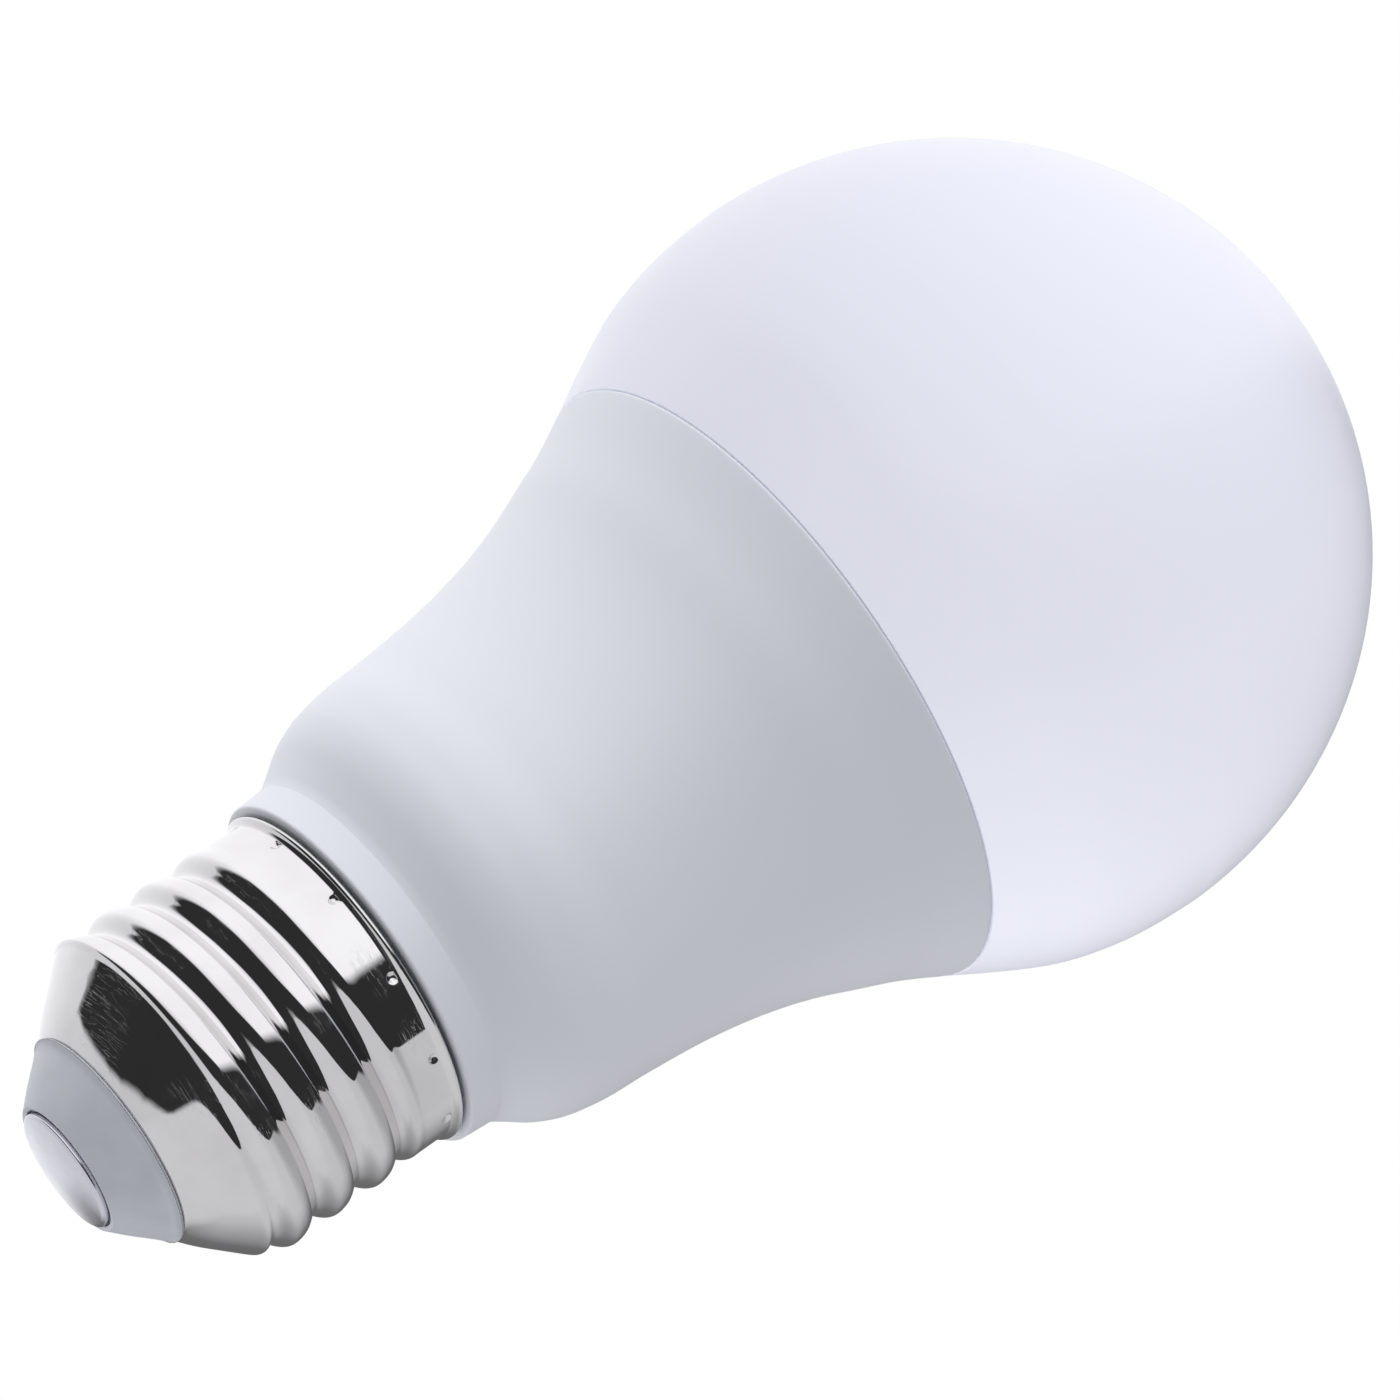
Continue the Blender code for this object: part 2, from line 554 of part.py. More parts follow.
def make_components():
    """The larger components on the driver board's front, and the flat ones on its back."""
    turned("bulk_capacitor", rounded_can(4.0, 18.0, 31.5, 0.4), "capacitor_sleeve", 24, (3.9, 2.4), False)
    turned("output_capacitor", rounded_can(3.15, 38.9, 49.1, 0.35), "capacitor_sleeve", 24, (-10.5, 1.5), False)
    drum = [
        (0.0, 21.0), (3.0, 21.0), (3.0, 22.2), (2.4, 22.2), (2.4, 27.6),
        (3.0, 27.6), (3.0, 28.8), (0.0, 28.8),
    ]
    turned("drum_inductor", drum, "ferrite", 20, (-4.7, 1.3), False)
    resistor = [
        (0.0, 11.6), (1.3, 11.6), (1.6, 12.0), (1.6, 13.2), (1.4, 13.6), (1.4, 17.6), (1.6, 18.0),
        (1.6, 19.2), (1.3, 19.6), (0.0, 19.6),
    ]
    turned("fuse_resistor", resistor, "resistor_body", SMALL_TURN_STEPS, (-5.4, -0.3), False)
    disc = turned("varistor", rounded_can(3.5, -1.7, 1.7, 0.6), "varistor_blue", 20, closed=False)
    disc.rotation_euler = (math.pi / 2, 0.0, 0.0)
    disc.location = (4.3 * MM, (FRONT_Y + 1.7) * MM, 14.2 * MM)
    block("film_capacitor", (-9.5, FRONT_Y, 31.0), (-1.5, 2.4, 38.4), "film_yellow", edge=0.4)
    block("bridge_rectifier", (-2.4, BACK_Y - 2.4, 14.0), (2.4, BACK_Y, 18.0), "black_plastic", edge=0.2)
    block("driver_ic", (-6.0, BACK_Y - 1.5, 30.0), (-2.0, BACK_Y, 35.0), "black_plastic", edge=0.2)
    block("standby_regulator", (2.0, BACK_Y - 1.4, 38.0), (5.0, BACK_Y, 41.0), "black_plastic", edge=0.2)
    block("output_diode", (2.0, BACK_Y - 2.2, 45.5), (6.4, BACK_Y, 49.0), "black_plastic", edge=0.2)


def make_wire(name, places, radius, finish):
    """A round wire along a smooth curve through its places, each axis following its own cubic."""
    places = np.array(places, float)
    stations = np.arange(len(places))
    fine = np.linspace(0, len(places) - 1, 3 * (len(places) - 1) + 1)
    path = np.stack([curve_through(np.stack([stations, axis], 1), fine) for axis in places.T], axis=1)
    curve = bpy.data.curves.new(name, "CURVE")
    curve.dimensions = "3D"
    curve.bevel_depth = radius * MM
    curve.bevel_resolution = 1
    curve.use_fill_caps = True
    spline = curve.splines.new("POLY")
    spline.points.add(len(path) - 1)
    for point, place in zip(spline.points, path):
        point.co = (*(place * MM), 1.0)
    curve.materials.append(material(finish, *FINISHES[finish]))
    made = bpy.data.objects.new(name, curve)
    bpy.context.scene.collection.objects.link(made)
    return made


def make_wires():
    """The live wire from the centre contact to the fuse, and the neutral wire from the board, out
    round the foot of the neck and up its groove, where the screw shell nips it."""
    live = [(0, 0, 2.0), (0, 0, 5.0), (-0.6, 0.3, 7.0), (-3.2, 0.4, 8.4), (-5.2, -0.2, 9.6), (-5.4, -0.3, 11.2)]
    make_wire("live_wire", live, 0.38, "red_insulation")
    neutral = [(5.0, -1.2, 9.9), (5.6, -1.0, 8.6), (8.0, -0.6, 7.9), (10.3, -0.1, 8.2), (11.15, 0, 9.6), (11.2, 0, 14.8)]
    make_wire("neutral_wire", neutral, 0.28, "black_insulation")


def main():
    clear_scene()
    make_cap()
    make_housing()
    make_globe()
    make_adhesive_bead()
    make_heat_sink()
    make_led_board()
    make_screws()
    make_leds()
    make_header()
    make_boards()
    make_transformer()
    make_components()
    make_wires()


main()
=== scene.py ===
# %% [markdown]
# # A smart light bulb, one piece at a time
# The imported CAD model gives every piece its place and its size. Here each piece that shows is made
# again as a fine surface worked out with numpy, and every piece gets a finish made of shader nodes.
# We start by loading the frame.

# %% Load the frame
import math

import bpy
import numpy as np
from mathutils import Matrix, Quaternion, Vector


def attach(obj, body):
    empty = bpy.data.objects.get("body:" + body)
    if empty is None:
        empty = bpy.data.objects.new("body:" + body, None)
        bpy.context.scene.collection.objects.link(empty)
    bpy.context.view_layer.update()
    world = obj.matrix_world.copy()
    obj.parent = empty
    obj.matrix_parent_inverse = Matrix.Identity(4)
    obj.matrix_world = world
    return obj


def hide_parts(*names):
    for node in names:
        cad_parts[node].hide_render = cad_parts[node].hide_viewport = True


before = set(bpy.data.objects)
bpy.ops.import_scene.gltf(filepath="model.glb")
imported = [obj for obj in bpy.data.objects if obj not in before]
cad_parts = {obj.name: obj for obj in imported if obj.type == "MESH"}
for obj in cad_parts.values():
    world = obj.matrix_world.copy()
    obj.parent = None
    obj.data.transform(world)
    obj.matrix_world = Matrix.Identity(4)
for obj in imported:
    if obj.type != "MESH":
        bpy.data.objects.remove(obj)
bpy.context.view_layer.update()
scene = bpy.context.scene

# %% [markdown]
# ## The camera
# The bulb hangs cap down in its own frame, but it is looked at from low on one side with the camera
# rolled, so that it seems to lie along a diagonal. A long lens far away keeps the ball nearly round.
# It is simplest to say where we aim, from what angle and how far, and to roll last.

# %% Place the camera
MM = 0.001
AIM = Vector((-1.834, 0.0, 57.869)) * MM
AIM_DISTANCE = 564.8 * MM
SIDEWAYS, UPWARDS, ROLL = math.radians(0.197), math.radians(-19.89), math.radians(55.39)
LENS = 205.714

back = Vector((
    math.sin(SIDEWAYS) * math.cos(UPWARDS), -math.cos(SIDEWAYS) * math.cos(UPWARDS), math.sin(UPWARDS)
))
camera = bpy.data.objects.new("camera", bpy.data.cameras.new("camera"))
camera.data.lens = LENS
camera.location = AIM + back * AIM_DISTANCE
camera.rotation_mode = "QUATERNION"
camera.rotation_quaternion = (-back).to_track_quat("-Z", "Y") @ Quaternion((0, 0, 1), ROLL)
scene.collection.objects.link(camera)
scene.camera = camera
scene.view_settings.view_transform = "Standard"
print("camera at", [round(value, 4) for value in camera.location])

# %% [markdown]
# ## Writing node trees
# A finish is a small recipe: a pattern drives the colour, the roughness and the bumps of one shader.
# This helper adds one node at a time and hands back its output, so a recipe reads like a list of
# ingredients. Numbers that are the same all over go onto the shader's own sockets.

# %% A recipe for nodes
class Recipe:
    """The node tree of a material or a world, written down one ingredient at a time."""

    def __init__(self, owner):
        owner.use_nodes = True
        self.tree = owner.node_tree
        self.tree.nodes.clear()

    def add(self, kind, inputs=None, output=0, **settings):
        """Adds a node, sets or links its inputs, and returns one of its outputs."""
        made = self.tree.nodes.new("ShaderNode" + kind)
        for key, value in settings.items():
            setattr(made, key, value)
        for key, value in (inputs or {}).items():
            if isinstance(value, bpy.types.NodeSocket):
                self.tree.links.new(value, made.inputs[key])
            else:
                made.inputs[key].default_value = value
        return made.outputs[output] if made.outputs else None

    def sum(self, operation, first, second=0.0, third=0.0):
        return self.add("Math", {0: first, 1: second, 2: third}, operation=operation)

    def times(self, first, second):
        return self.sum("MULTIPLY", first, second)

    def apart(self, first, second):
        return self.sum("ABSOLUTE", self.sum("SUBTRACT", first, second))

    def spread(self, value, low, high, to_low=0.0, to_high=1.0, smooth=True):
        """Carries value from low..high to to_low..to_high, easing in and out when smooth."""
        kind = "SMOOTHSTEP" if smooth else "LINEAR"
        inputs = {0: value, 1: low, 2: high, 3: to_low, 4: to_high}
        return self.add("MapRange", inputs, interpolation_type=kind, clamp=True)

    def ramp(self, value, stops):
        """A grey level for each value, straight between (value, level) stops."""
        output = self.add("ValToRGB", {0: value})
        elements = output.node.color_ramp.elements
        while len(elements) < len(stops):
            elements.new(0.5)
        for element, (place, level) in zip(elements, stops):
            element.position = place
            element.color = (level, level, level, 1.0)
        return output

    def blend(self, share, first, second):
        """The first colour where share is 0, the second where it is 1."""
        first, second = [(*part, 1.0) if isinstance(part, tuple) else part for part in (first, second)]
        return self.add("Mix", {0: share, 6: first, 7: second}, output=2, data_type="RGBA")

    def place(self, stretch=(1.0, 1.0, 1.0)):
        """Places on the object in metres, stretched along each axis."""
        where = self.add("TexCoord", output=3)
        return self.add("Mapping", {0: where, 3: stretch}) if stretch != (1.0, 1.0, 1.0) else where

    def noise(self, per_metre, where, detail=2.0, rough=0.5):
        inputs = {"Vector": where, "Scale": per_metre, "Detail": detail, "Roughness": rough}
        return self.add("TexNoise", inputs)

    def bump(self, height, depth, under=None):
        """A bump whose full height is depth metres, laid over another bump if one is given."""
        inputs = {"Height": height, "Distance": depth, "Strength": 1.0}
        if under is not None:
            inputs["Normal"] = under
        return self.add("Bump", inputs)

    def dress(self, colour, roughness, normal):
        """Links a pattern of colour, one of roughness and a bump to this recipe's shader."""
        for socket, value in (("Base Color", colour), ("Roughness", roughness), ("Normal", normal)):
            self.tree.links.new(value, self.shader.inputs[socket])

# %% [markdown]
# ## Soft studio light
# Bright metal is only as handsome as what it mirrors. The room is drawn as big soft panels: a white
# one fills the left half, a grey one stands on the right, and a dark gap between them gives the metal
# its black lines. Rays that only soften plastic see a gentler room. The camera sees plain white.

# %% Where the panels are and how bright
WHITE_PANEL, DARK_GAP = 1.08, 0.03
PANEL_TINT = (0.995, 0.99, 1.02)
# Turn is measured in degrees from the back (+Y) round by the left (-X) and the front to the right (+X).
# Between these two heights, in degrees, the room is dark: under it lie the floor and the grey panel
LOW_EDGE = [(0, 90), (50, -28), (55, -30), (60, -39), (71, -51), (85, -63), (100, -70), (120, -73),
            (150, -76), (180, -74), (195, -71), (204, -65), (210, -59), (217, -47), (224, -36),
            (229, -15), (233, 3), (237, 20), (240, 40), (244, 47), (250, 51), (261, 57), (274, 62),
            (290, 65), (356, 65), (358, 90), (360, 90)]
# and over it the white panel, which ends at the front
HIGH_EDGE = [(0, -60), (50, -50), (55, -28), (60, -24), (70, -20), (85, -15), (95, -11), (122, -15),
             (140, -23), (200, -24), (360, -24)]
# How bright the white and the grey panels are by height, and how the grey one fades to the right
WHITE_STOPS = [(-90, 0.60), (-60, 0.62), (-30, 0.68), (-20, 0.74), (-10, 0.82), (0, 0.90),
               (12, 1.0), (90, 1.0)]
GREY_STOPS = [(-90, 0.69), (-40, 0.68), (-20, 0.635), (22, 0.62), (36, 0.43), (90, 0.40)]
FADE_STOPS = [(0, 1.0), (300, 1.0), (310, 0.88), (320, 0.66), (328, 0.50), (337, 0.28),
              (346, 0.24), (360, 0.24)]

# %% [markdown]
# A world is looked up by direction. We turn the direction into two angles, a turn and a height, and
# read each panel's edge and brightness off its list with a ramp.

# %% Turn and height of every ray
world = bpy.data.worlds.new("studio")
scene.world = world
room = Recipe(world)
heading_vector = room.add("TexCoord", output=0)
east, north, up = room.add("SeparateXYZ", {0: heading_vector}).node.outputs
height = room.sum("DEGREES", room.sum("ARCSINE", up))
turn = room.sum("DEGREES", room.sum("ARCTAN2", room.times(east, -1.0), north))
turn = room.sum("FLOORED_MODULO", turn, 360.0)


def by_degrees(value, stops, low, high):
    """The level between (degrees, level) stops."""
    share = room.spread(value, low, high, smooth=False)
    return room.ramp(share, [((at - low) / (high - low), level) for at, level in stops])


def height_by_turn(stops):
    """The height of an edge, in degrees, at every turn. A ramp only holds 0 to 1, so it is squeezed in."""
    level = by_degrees(turn, [(at, (degrees + 90) / 180) for at, degrees in stops], 0, 360)
    return room.sum("MULTIPLY_ADD", level, 180.0, -90.0)

# %% [markdown]
# A panel is lit where the height is past its edge, and a soft step keeps the edge from looking cut.
# The brighter panel wins, and the gap keeps a trace of light.

# %% The room that metal mirrors
# Half the width of each soft edge, in degrees
OVER_SOFTNESS, UNDER_SOFTNESS = 8.0, 3.0
over = room.sum("SUBTRACT", height, height_by_turn(HIGH_EDGE))
over = room.spread(over, -OVER_SOFTNESS, OVER_SOFTNESS)
under = room.sum("SUBTRACT", height, height_by_turn(LOW_EDGE))
under = room.spread(under, UNDER_SOFTNESS, -UNDER_SOFTNESS)
# The white panel's front edge stands straight and leans away low down
LEAN_BELOW, LEAN_RATE, FRONT_EDGE = 0.12, 0.73, (0.12, -0.03)
lean = room.sum("MAXIMUM", room.sum("SUBTRACT", LEAN_BELOW, up), 0.0)
lean = room.times(lean, LEAN_RATE)
panel_left = room.spread(room.sum("ADD", east, lean), *FRONT_EDGE)
panel_left = room.sum("MAXIMUM", panel_left, room.spread(turn, 110.0, 90.0))
white = room.times(by_degrees(height, WHITE_STOPS, -90, 90), WHITE_PANEL)
fade = by_degrees(turn, FADE_STOPS, 0, 360)
fade = room.sum("MAXIMUM", fade, room.spread(height, -12.0, -32.0))
grey = room.times(by_degrees(height, GREY_STOPS, -90, 90), fade)
grey_side = room.times(room.spread(turn, 185.0, 215.0), room.spread(turn, 360.0, 354.0))
side = room.blend(grey_side, white, grey)
upper = room.times(room.times(over, panel_left), white)
mirrored = room.sum("MAXIMUM", room.sum("MAXIMUM", upper, room.times(under, side)), DARK_GAP)

# %% [markdown]
# Plastic scatters light, so only the broad balance counts: a level, a slope towards the upper left,
# and products of two directions that shade it low at the front.

# %% The room that plastic sees
EVEN, TOWARDS, LOW_FRONT = 0.90, (-0.275, 0.23, 0.44), (-0.935, -1.12, 0.42)
CROSSED, FLANKS = 0.48, -0.185
tilted, shaded = [
    room.add("VectorMath", {0: heading_vector, 1: direction}, output=1, operation="DOT_PRODUCT")
    for direction in (TOWARDS, LOW_FRONT)
]
corner = room.times(room.times(east, north), CROSSED)
flanks = room.sum("SUBTRACT", room.times(east, east), room.times(north, north))
corner = room.sum("MULTIPLY_ADD", flanks, FLANKS, corner)
softened = room.sum("ADD", room.sum("ADD", tilted, EVEN), room.sum("MULTIPLY_ADD", shaded, up, corner))
# High up it dims again, which only the top of the globe can see
HIGH_DIMMING, DIMMING_FROM_TO, DARKEST = 0.42, (0.25, 0.85), 0.05
dimming = room.times(room.spread(up, *DIMMING_FROM_TO), HIGH_DIMMING)
softened = room.sum("MAXIMUM", room.sum("SUBTRACT", softened, dimming), DARKEST)
rays = room.add("LightPath").node
seen = room.blend(rays.outputs["Is Glossy Ray"], softened, mirrored)
tint = {0: 1.0, 6: seen, 7: (*PANEL_TINT, 1.0)}
tinted = room.add("Mix", tint, output=2, data_type="RGBA", blend_type="MULTIPLY")
shown = room.blend(rays.outputs["Is Camera Ray"], tinted, (1.0, 1.0, 1.0))
room.add("OutputWorld", {0: room.add("Background", {0: shown})})
world.cycles.sampling_method = "NONE"
print("room drawn with", len(room.tree.nodes), "nodes")

# %% [markdown]
# ## The floor
# A pale floor lies under the contact. The main view looks up from below it, so its underside is made
# clear, and it takes no part in mirroring. It is a few square metres of matt paint with a faint mottle.

# %% Lay the floor
FLOOR_HALF = 2.5
corners = [(x * FLOOR_HALF, y * FLOOR_HALF, 0) for x, y in ((-1, -1), (1, -1), (1, 1), (-1, 1))]
floor_mesh = bpy.data.meshes.new("floor")
floor_mesh.from_pydata(corners, [], [(0, 1, 2, 3)])
floor = bpy.data.objects.new("floor", floor_mesh)
scene.collection.objects.link(floor)
paint = bpy.data.materials.new("floor_paint")
floor_recipe = Recipe(paint)
mottle = floor_recipe.noise(40.0, floor_recipe.place())
floor_colour = floor_recipe.blend(mottle, (0.90, 0.90, 0.91), (0.93, 0.93, 0.935))
matt = floor_recipe.add("BsdfDiffuse", {0: floor_colour})
clear = floor_recipe.add("BsdfTransparent")
underside = floor_recipe.add("NewGeometry", output=6)
floor_recipe.add("OutputMaterial", {0: floor_recipe.add("MixShader", {0: underside, 1: matt, 2: clear})})
floor_mesh.materials.append(paint)
floor.visible_glossy = floor.visible_diffuse = floor.visible_shadow = False
floor.visible_transmission = False
print("floor", 2 * FLOOR_HALF, "m square")

# %% [markdown]
# ## Surfaces from grids
# Nearly every piece of a bulb is turned, pressed or moulded, so its surface is a grid: one direction
# runs along a section, the other runs round. We work out all the points at once as an array, and
# `skin` joins neighbours into four-sided faces. A grid that ends on the axis is closed by a fan.

# %% A grid becomes a mesh
pieces_made = {}


def skin(name, grid, closed=False, first_cap=False, last_cap=False):
    """A mesh from a (rows, columns, 3) grid in millimetres. Columns run round and meet. Face corners are
    numbered row * columns + column, so a face is that number, the next one round, and both a row on.
    Rows join at their ends when closed, and a cap is a fan to the middle of its row."""
    rows, columns = grid.shape[:2]
    points = grid.reshape(-1, 3)
    r = np.arange(rows if closed else rows - 1)[:, None]
    c = np.arange(columns)[None, :]
    here, there = r * columns, ((r + 1) % rows) * columns
    onward = (c + 1) % columns
    quads = np.stack([here + c, here + onward, there + onward, there + c], axis=-1).reshape(-1, 4)
    fans = []
    ring, following = np.arange(columns), (np.arange(columns) + 1) % columns
    if first_cap:
        points = np.vstack([points, grid[0].mean(0)])
        fans.append(np.stack([following, ring, np.full(columns, len(points) - 1)], axis=1))
    if last_cap:
        points = np.vstack([points, grid[-1].mean(0)])
        start = (rows - 1) * columns
        middle = np.full(columns, len(points) - 1)
        fans.append(np.stack([start + ring, start + following, middle], axis=1))
    faces = quads.tolist() + [face for fan in fans for face in fan.tolist()]
    mesh = bpy.data.meshes.new(name)
    mesh.from_pydata((points * MM).tolist(), [], faces)
    mesh.polygons.foreach_set("use_smooth", np.ones(len(mesh.polygons), bool))
    mesh.update()
    made = bpy.data.objects.new(name, mesh)
    scene.collection.objects.link(made)
    return made

# %% [markdown]
# A turned piece needs only its section and a number of steps round. Then one call gives any piece its
# finish, makes it ride on its body, and hides the CAD node that it stands for.

# %% Turned pieces and finished pieces
def around(count):
    """Evenly spaced angles of a whole turn."""
    return 2 * np.pi * np.arange(count) / count


def round_grid(radius, angle, height, centre=(0.0, 0.0)):
    """Each point is its radius times the cosine and the sine of its angle from the centre, at its height."""
    x, y = radius * np.cos(angle) + centre[0], radius * np.sin(angle) + centre[1]
    return np.stack([x, y, np.broadcast_to(height, x.shape)], axis=-1)


def turned(name, section, steps=192, centre=(0.0, 0.0)):
    """A section of (radius, height) points turned about an upright line. A section that starts or ends
    on the axis is capped there, and one that stays off the axis is joined to itself."""
    section = np.array(section, float)
    open_first, open_last = section[0, 0] < 1e-6, section[-1, 0] < 1e-6
    body = section[1 if open_first else 0 : -1 if open_last else None]
    grid = round_grid(body[:, :1], around(steps), body[:, 1:], centre)
    return skin(name, grid, not (open_first or open_last), open_first, open_last)


def finished(piece, material, node, body="bulb"):
    """Gives a piece its finish and its body, hides the CAD node it stands for, and reports it."""
    piece.data.materials.append(material)
    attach(piece, body)
    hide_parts(node)
    pieces_made[piece.name] = len(piece.data.polygons)
    print(piece.name + ":", pieces_made[piece.name], "faces, rides on", body)

# %% [markdown]
# ## Sections with soft corners
# No real edge is perfectly sharp, and the thin line of light on a rounded edge is what makes a piece
# look real. `softened_section` swaps each corner of an outline for a small arc that touches both
# sides, and keeps a point just beyond each end of the arc, so the flat sides still shade flat.

# %% Rounding and smooth curves
def softened_section(outline, corners, steps=5):
    """Each corner with a radius becomes an arc. The arc touches a side at the radius over the tangent of
    half the corner's angle. Seen from the arc's middle, its points are the two touching points mixed by
    the sines of the angles still to go and already gone, over the sine of the whole sweep."""
    outline = np.array(outline, float)
    made = [outline[:1]]
    for before, corner, after, radius in zip(outline[:-2], outline[1:-1], outline[2:], corners):
        if not radius:
            made.append(corner[None])
            continue
        a, b = before - corner, after - corner
        a, b = a / np.hypot(*a), b / np.hypot(*b)
        half = 0.5 * np.arccos(np.clip(a @ b, -1, 1))
        reach = radius / np.tan(half)
        middle = corner + (a + b) / np.hypot(*(a + b)) * radius / np.sin(half)
        start, end = corner + a * reach - middle, corner + b * reach - middle
        sweep = np.pi - 2 * half
        t = np.linspace(0, 1, steps + 1)[:, None]
        arc = (np.sin((1 - t) * sweep) * start + np.sin(t * sweep) * end) / np.sin(sweep) + middle
        support = 0.35 * radius
        made += [(arc[0] + a * support)[None], arc, (arc[-1] + b * support)[None]]
    return np.vstack(made + [outline[-1:]])


def curve_through(places, at):
    """Smooth curve through (place, value) pairs: cubic pieces that share their slope at each place,
    which is the slope of the parabola through it and its two neighbours."""
    z, r = np.array(places, float).T
    step = np.diff(z)
    rise = np.diff(r) / step
    middle = (rise[:-1] * step[1:] + rise[1:] * step[:-1]) / (step[:-1] + step[1:])
    slope = np.concatenate([[rise[0] * 1.5 - middle[0] / 2], middle, [rise[-1] * 1.5 - middle[-1] / 2]])
    at = np.asarray(at, float)
    piece = np.clip(np.searchsorted(z, at, side="right") - 1, 0, len(z) - 2)
    t = (at - z[piece]) / step[piece]
    return (
        (2 * t**3 - 3 * t**2 + 1) * r[piece] + (t**3 - 2 * t**2 + t) * step[piece] * slope[piece]
        + (3 * t**2 - 2 * t**3) * r[piece + 1] + (t**3 - t**2) * step[piece] * slope[piece + 1]
    )

# %% [markdown]
# ## Finishes in general
# Most stock, moulded or plated, wants the same three things: a colour that drifts a little over
# broad patches, a roughness that is never quite even, and a grain too fine to count. One function
# makes them all, and the finishes that need more are written out in full where they are used.

# %% The everyday finish
def new_finish(name, roughness=0.5, metallic=0.0, **sockets):
    """A Principled shader with its plain numbers set on its own sockets."""
    made = bpy.data.materials.new(name)
    recipe = Recipe(made)
    shader = recipe.add("BsdfPrincipled", {"Roughness": roughness, "Metallic": metallic, **sockets})
    recipe.add("OutputMaterial", {0: shader})
    recipe.shader = shader.node
    return made, recipe


def everyday(name, colour, roughness, metallic=0.0, drift=0.05, patch=250.0, grain=5000.0, depth=0.004,
             stretch=(1.0, 1.0, 1.0), **sockets):
    """Colour drifts by a share over patches, roughness by a sixth, and grain lifts it by depth mm."""
    made, recipe = new_finish(name, metallic=metallic, **sockets)
    where = recipe.place(stretch)
    broad = recipe.noise(patch, where, 3.0)
    fine = recipe.noise(grain, where, 2.0)
    dark = tuple(value * (1 - drift) for value in colour)
    light = tuple(min(1.0, value * (1 + drift)) for value in colour)
    recipe.dress(
        recipe.blend(recipe.spread(broad, 0.3, 0.7), dark, light),
        recipe.spread(fine, 0.25, 0.75, roughness * 0.85, roughness * 1.15),
        recipe.bump(fine, depth * MM),
    )
    return made

# %% [markdown]
# ## Nickel plate
# The screw shell is thin brass sheet, pressed to shape and plated with bright nickel. The press
# draws faint lines round it, and handling leaves a few hairline scratches. Noise that is squeezed
# along the axis and stretched round the cap gives lines that run the right way.

# %% Nickel plate
nickel, recipe = new_finish("nickel_plate", metallic=1.0)
lines = recipe.noise(60.0, recipe.place((1.0, 1.0, 60.0)), 3.0, 0.6)
haze = recipe.noise(180.0, recipe.place(), 4.0)
scratch_place = recipe.add("Mapping", {0: recipe.place(), 2: (0.5, 0.35, 0.6), 3: (1.0, 1.0, 14.0)})
scratch_field = recipe.noise(420.0, scratch_place, 1.0)
SCRATCH_HALF, SCRATCH_DEPTH, LINE_DEPTH = 0.006, 0.0012 * MM, 0.0012 * MM
scratches = recipe.spread(recipe.apart(scratch_field, 0.5), 0.0, SCRATCH_HALF, 1.0, 0.0)
scratches = recipe.times(scratches, recipe.spread(haze, 0.5, 0.62))
rough = recipe.spread(recipe.sum("ADD", lines, haze), 0.7, 1.3, 0.02, 0.05)
rough = recipe.sum("ADD", rough, recipe.times(scratches, 0.08))
recipe.dress(
    recipe.blend(recipe.spread(haze, 0.35, 0.65), (0.79, 0.78, 0.775), (0.84, 0.832, 0.828)), rough,
    recipe.bump(scratches, -SCRATCH_DEPTH, recipe.bump(lines, LINE_DEPTH)),
)
print("nickel has", len(recipe.tree.nodes), "nodes")

# %% [markdown]
# ## The screw shell
# A round thread is a smooth wave that climbs one pitch for each turn. If we ask for the radius at a
# height and an angle, the wave is a cosine of height over pitch minus turns, so the whole thread is
# one line of arithmetic on arrays. The foot is a cone, and a soft minimum lets the thread run into
# it. Near the rim the press has punched a ring of small round pits that lock the shell on its neck,
# and the rim is flared and rolled.

# %% The shell's radius at every height and angle
THREAD_PITCH = 3.629
THREAD_CREST_RADIUS = 13.08
THREAD_DEPTH = 0.9
THREAD_START_Z = 7.59
FULLER, LEANING = 0.08, 0.04
THREAD_FADE_Z = (20.3, 21.9)
SHELL_WALL = 0.3
SHELL_SKIRT_RADIUS = 12.87
CONE_FOOT, CONE_RISE, CONE_TOP_Z = (8.3, 4.5), 0.9, 9.2
CONE_BEND, CONE_BENT, SOFTNESS = 0.09, 1.78, 0.2
PIT_COUNT, PIT_Z, PIT_DEPTH, PIT_EDGE = 12, 23.68, 0.22, 0.52
FIRST_PIT = math.radians(-171.8)


def shell_radius(z, angle):
    """Crest radius less the depth times a falling cosine of (height over pitch less turns), made fuller
    and a little lopsided by its second overtone, and faded out above the thread. The foot is a cone
    whose slope eases off over the first CONE_BENT and then runs straight. A soft minimum joins the two:
    minus s log(e^(-a/s) + e^(-b/s))."""
    turns = 2 * np.pi * (z - THREAD_START_Z) / THREAD_PITCH - angle
    wave = 0.5 + 0.5 * np.cos(turns) + FULLER * (1 - np.cos(2 * turns)) - LEANING * np.sin(2 * turns)
    t = np.clip((z - THREAD_FADE_Z[0]) / (THREAD_FADE_Z[1] - THREAD_FADE_Z[0]), 0, 1)
    fade = 1 - t * t * (3 - 2 * t)
    crest = SHELL_SKIRT_RADIUS + (THREAD_CREST_RADIUS - SHELL_SKIRT_RADIUS) * fade
    thread = crest - THREAD_DEPTH * fade * (1 - wave)
    up = z - CONE_FOOT[1]
    bent = np.minimum(up, CONE_BENT)
    cone = CONE_FOOT[0] + CONE_RISE * up + CONE_BEND * bent * (2 * CONE_BENT - bent)
    cone = cone + 4 * np.maximum(0, z - CONE_TOP_Z)
    return -SOFTNESS * np.logaddexp(-thread / SOFTNESS, -cone / SOFTNESS)


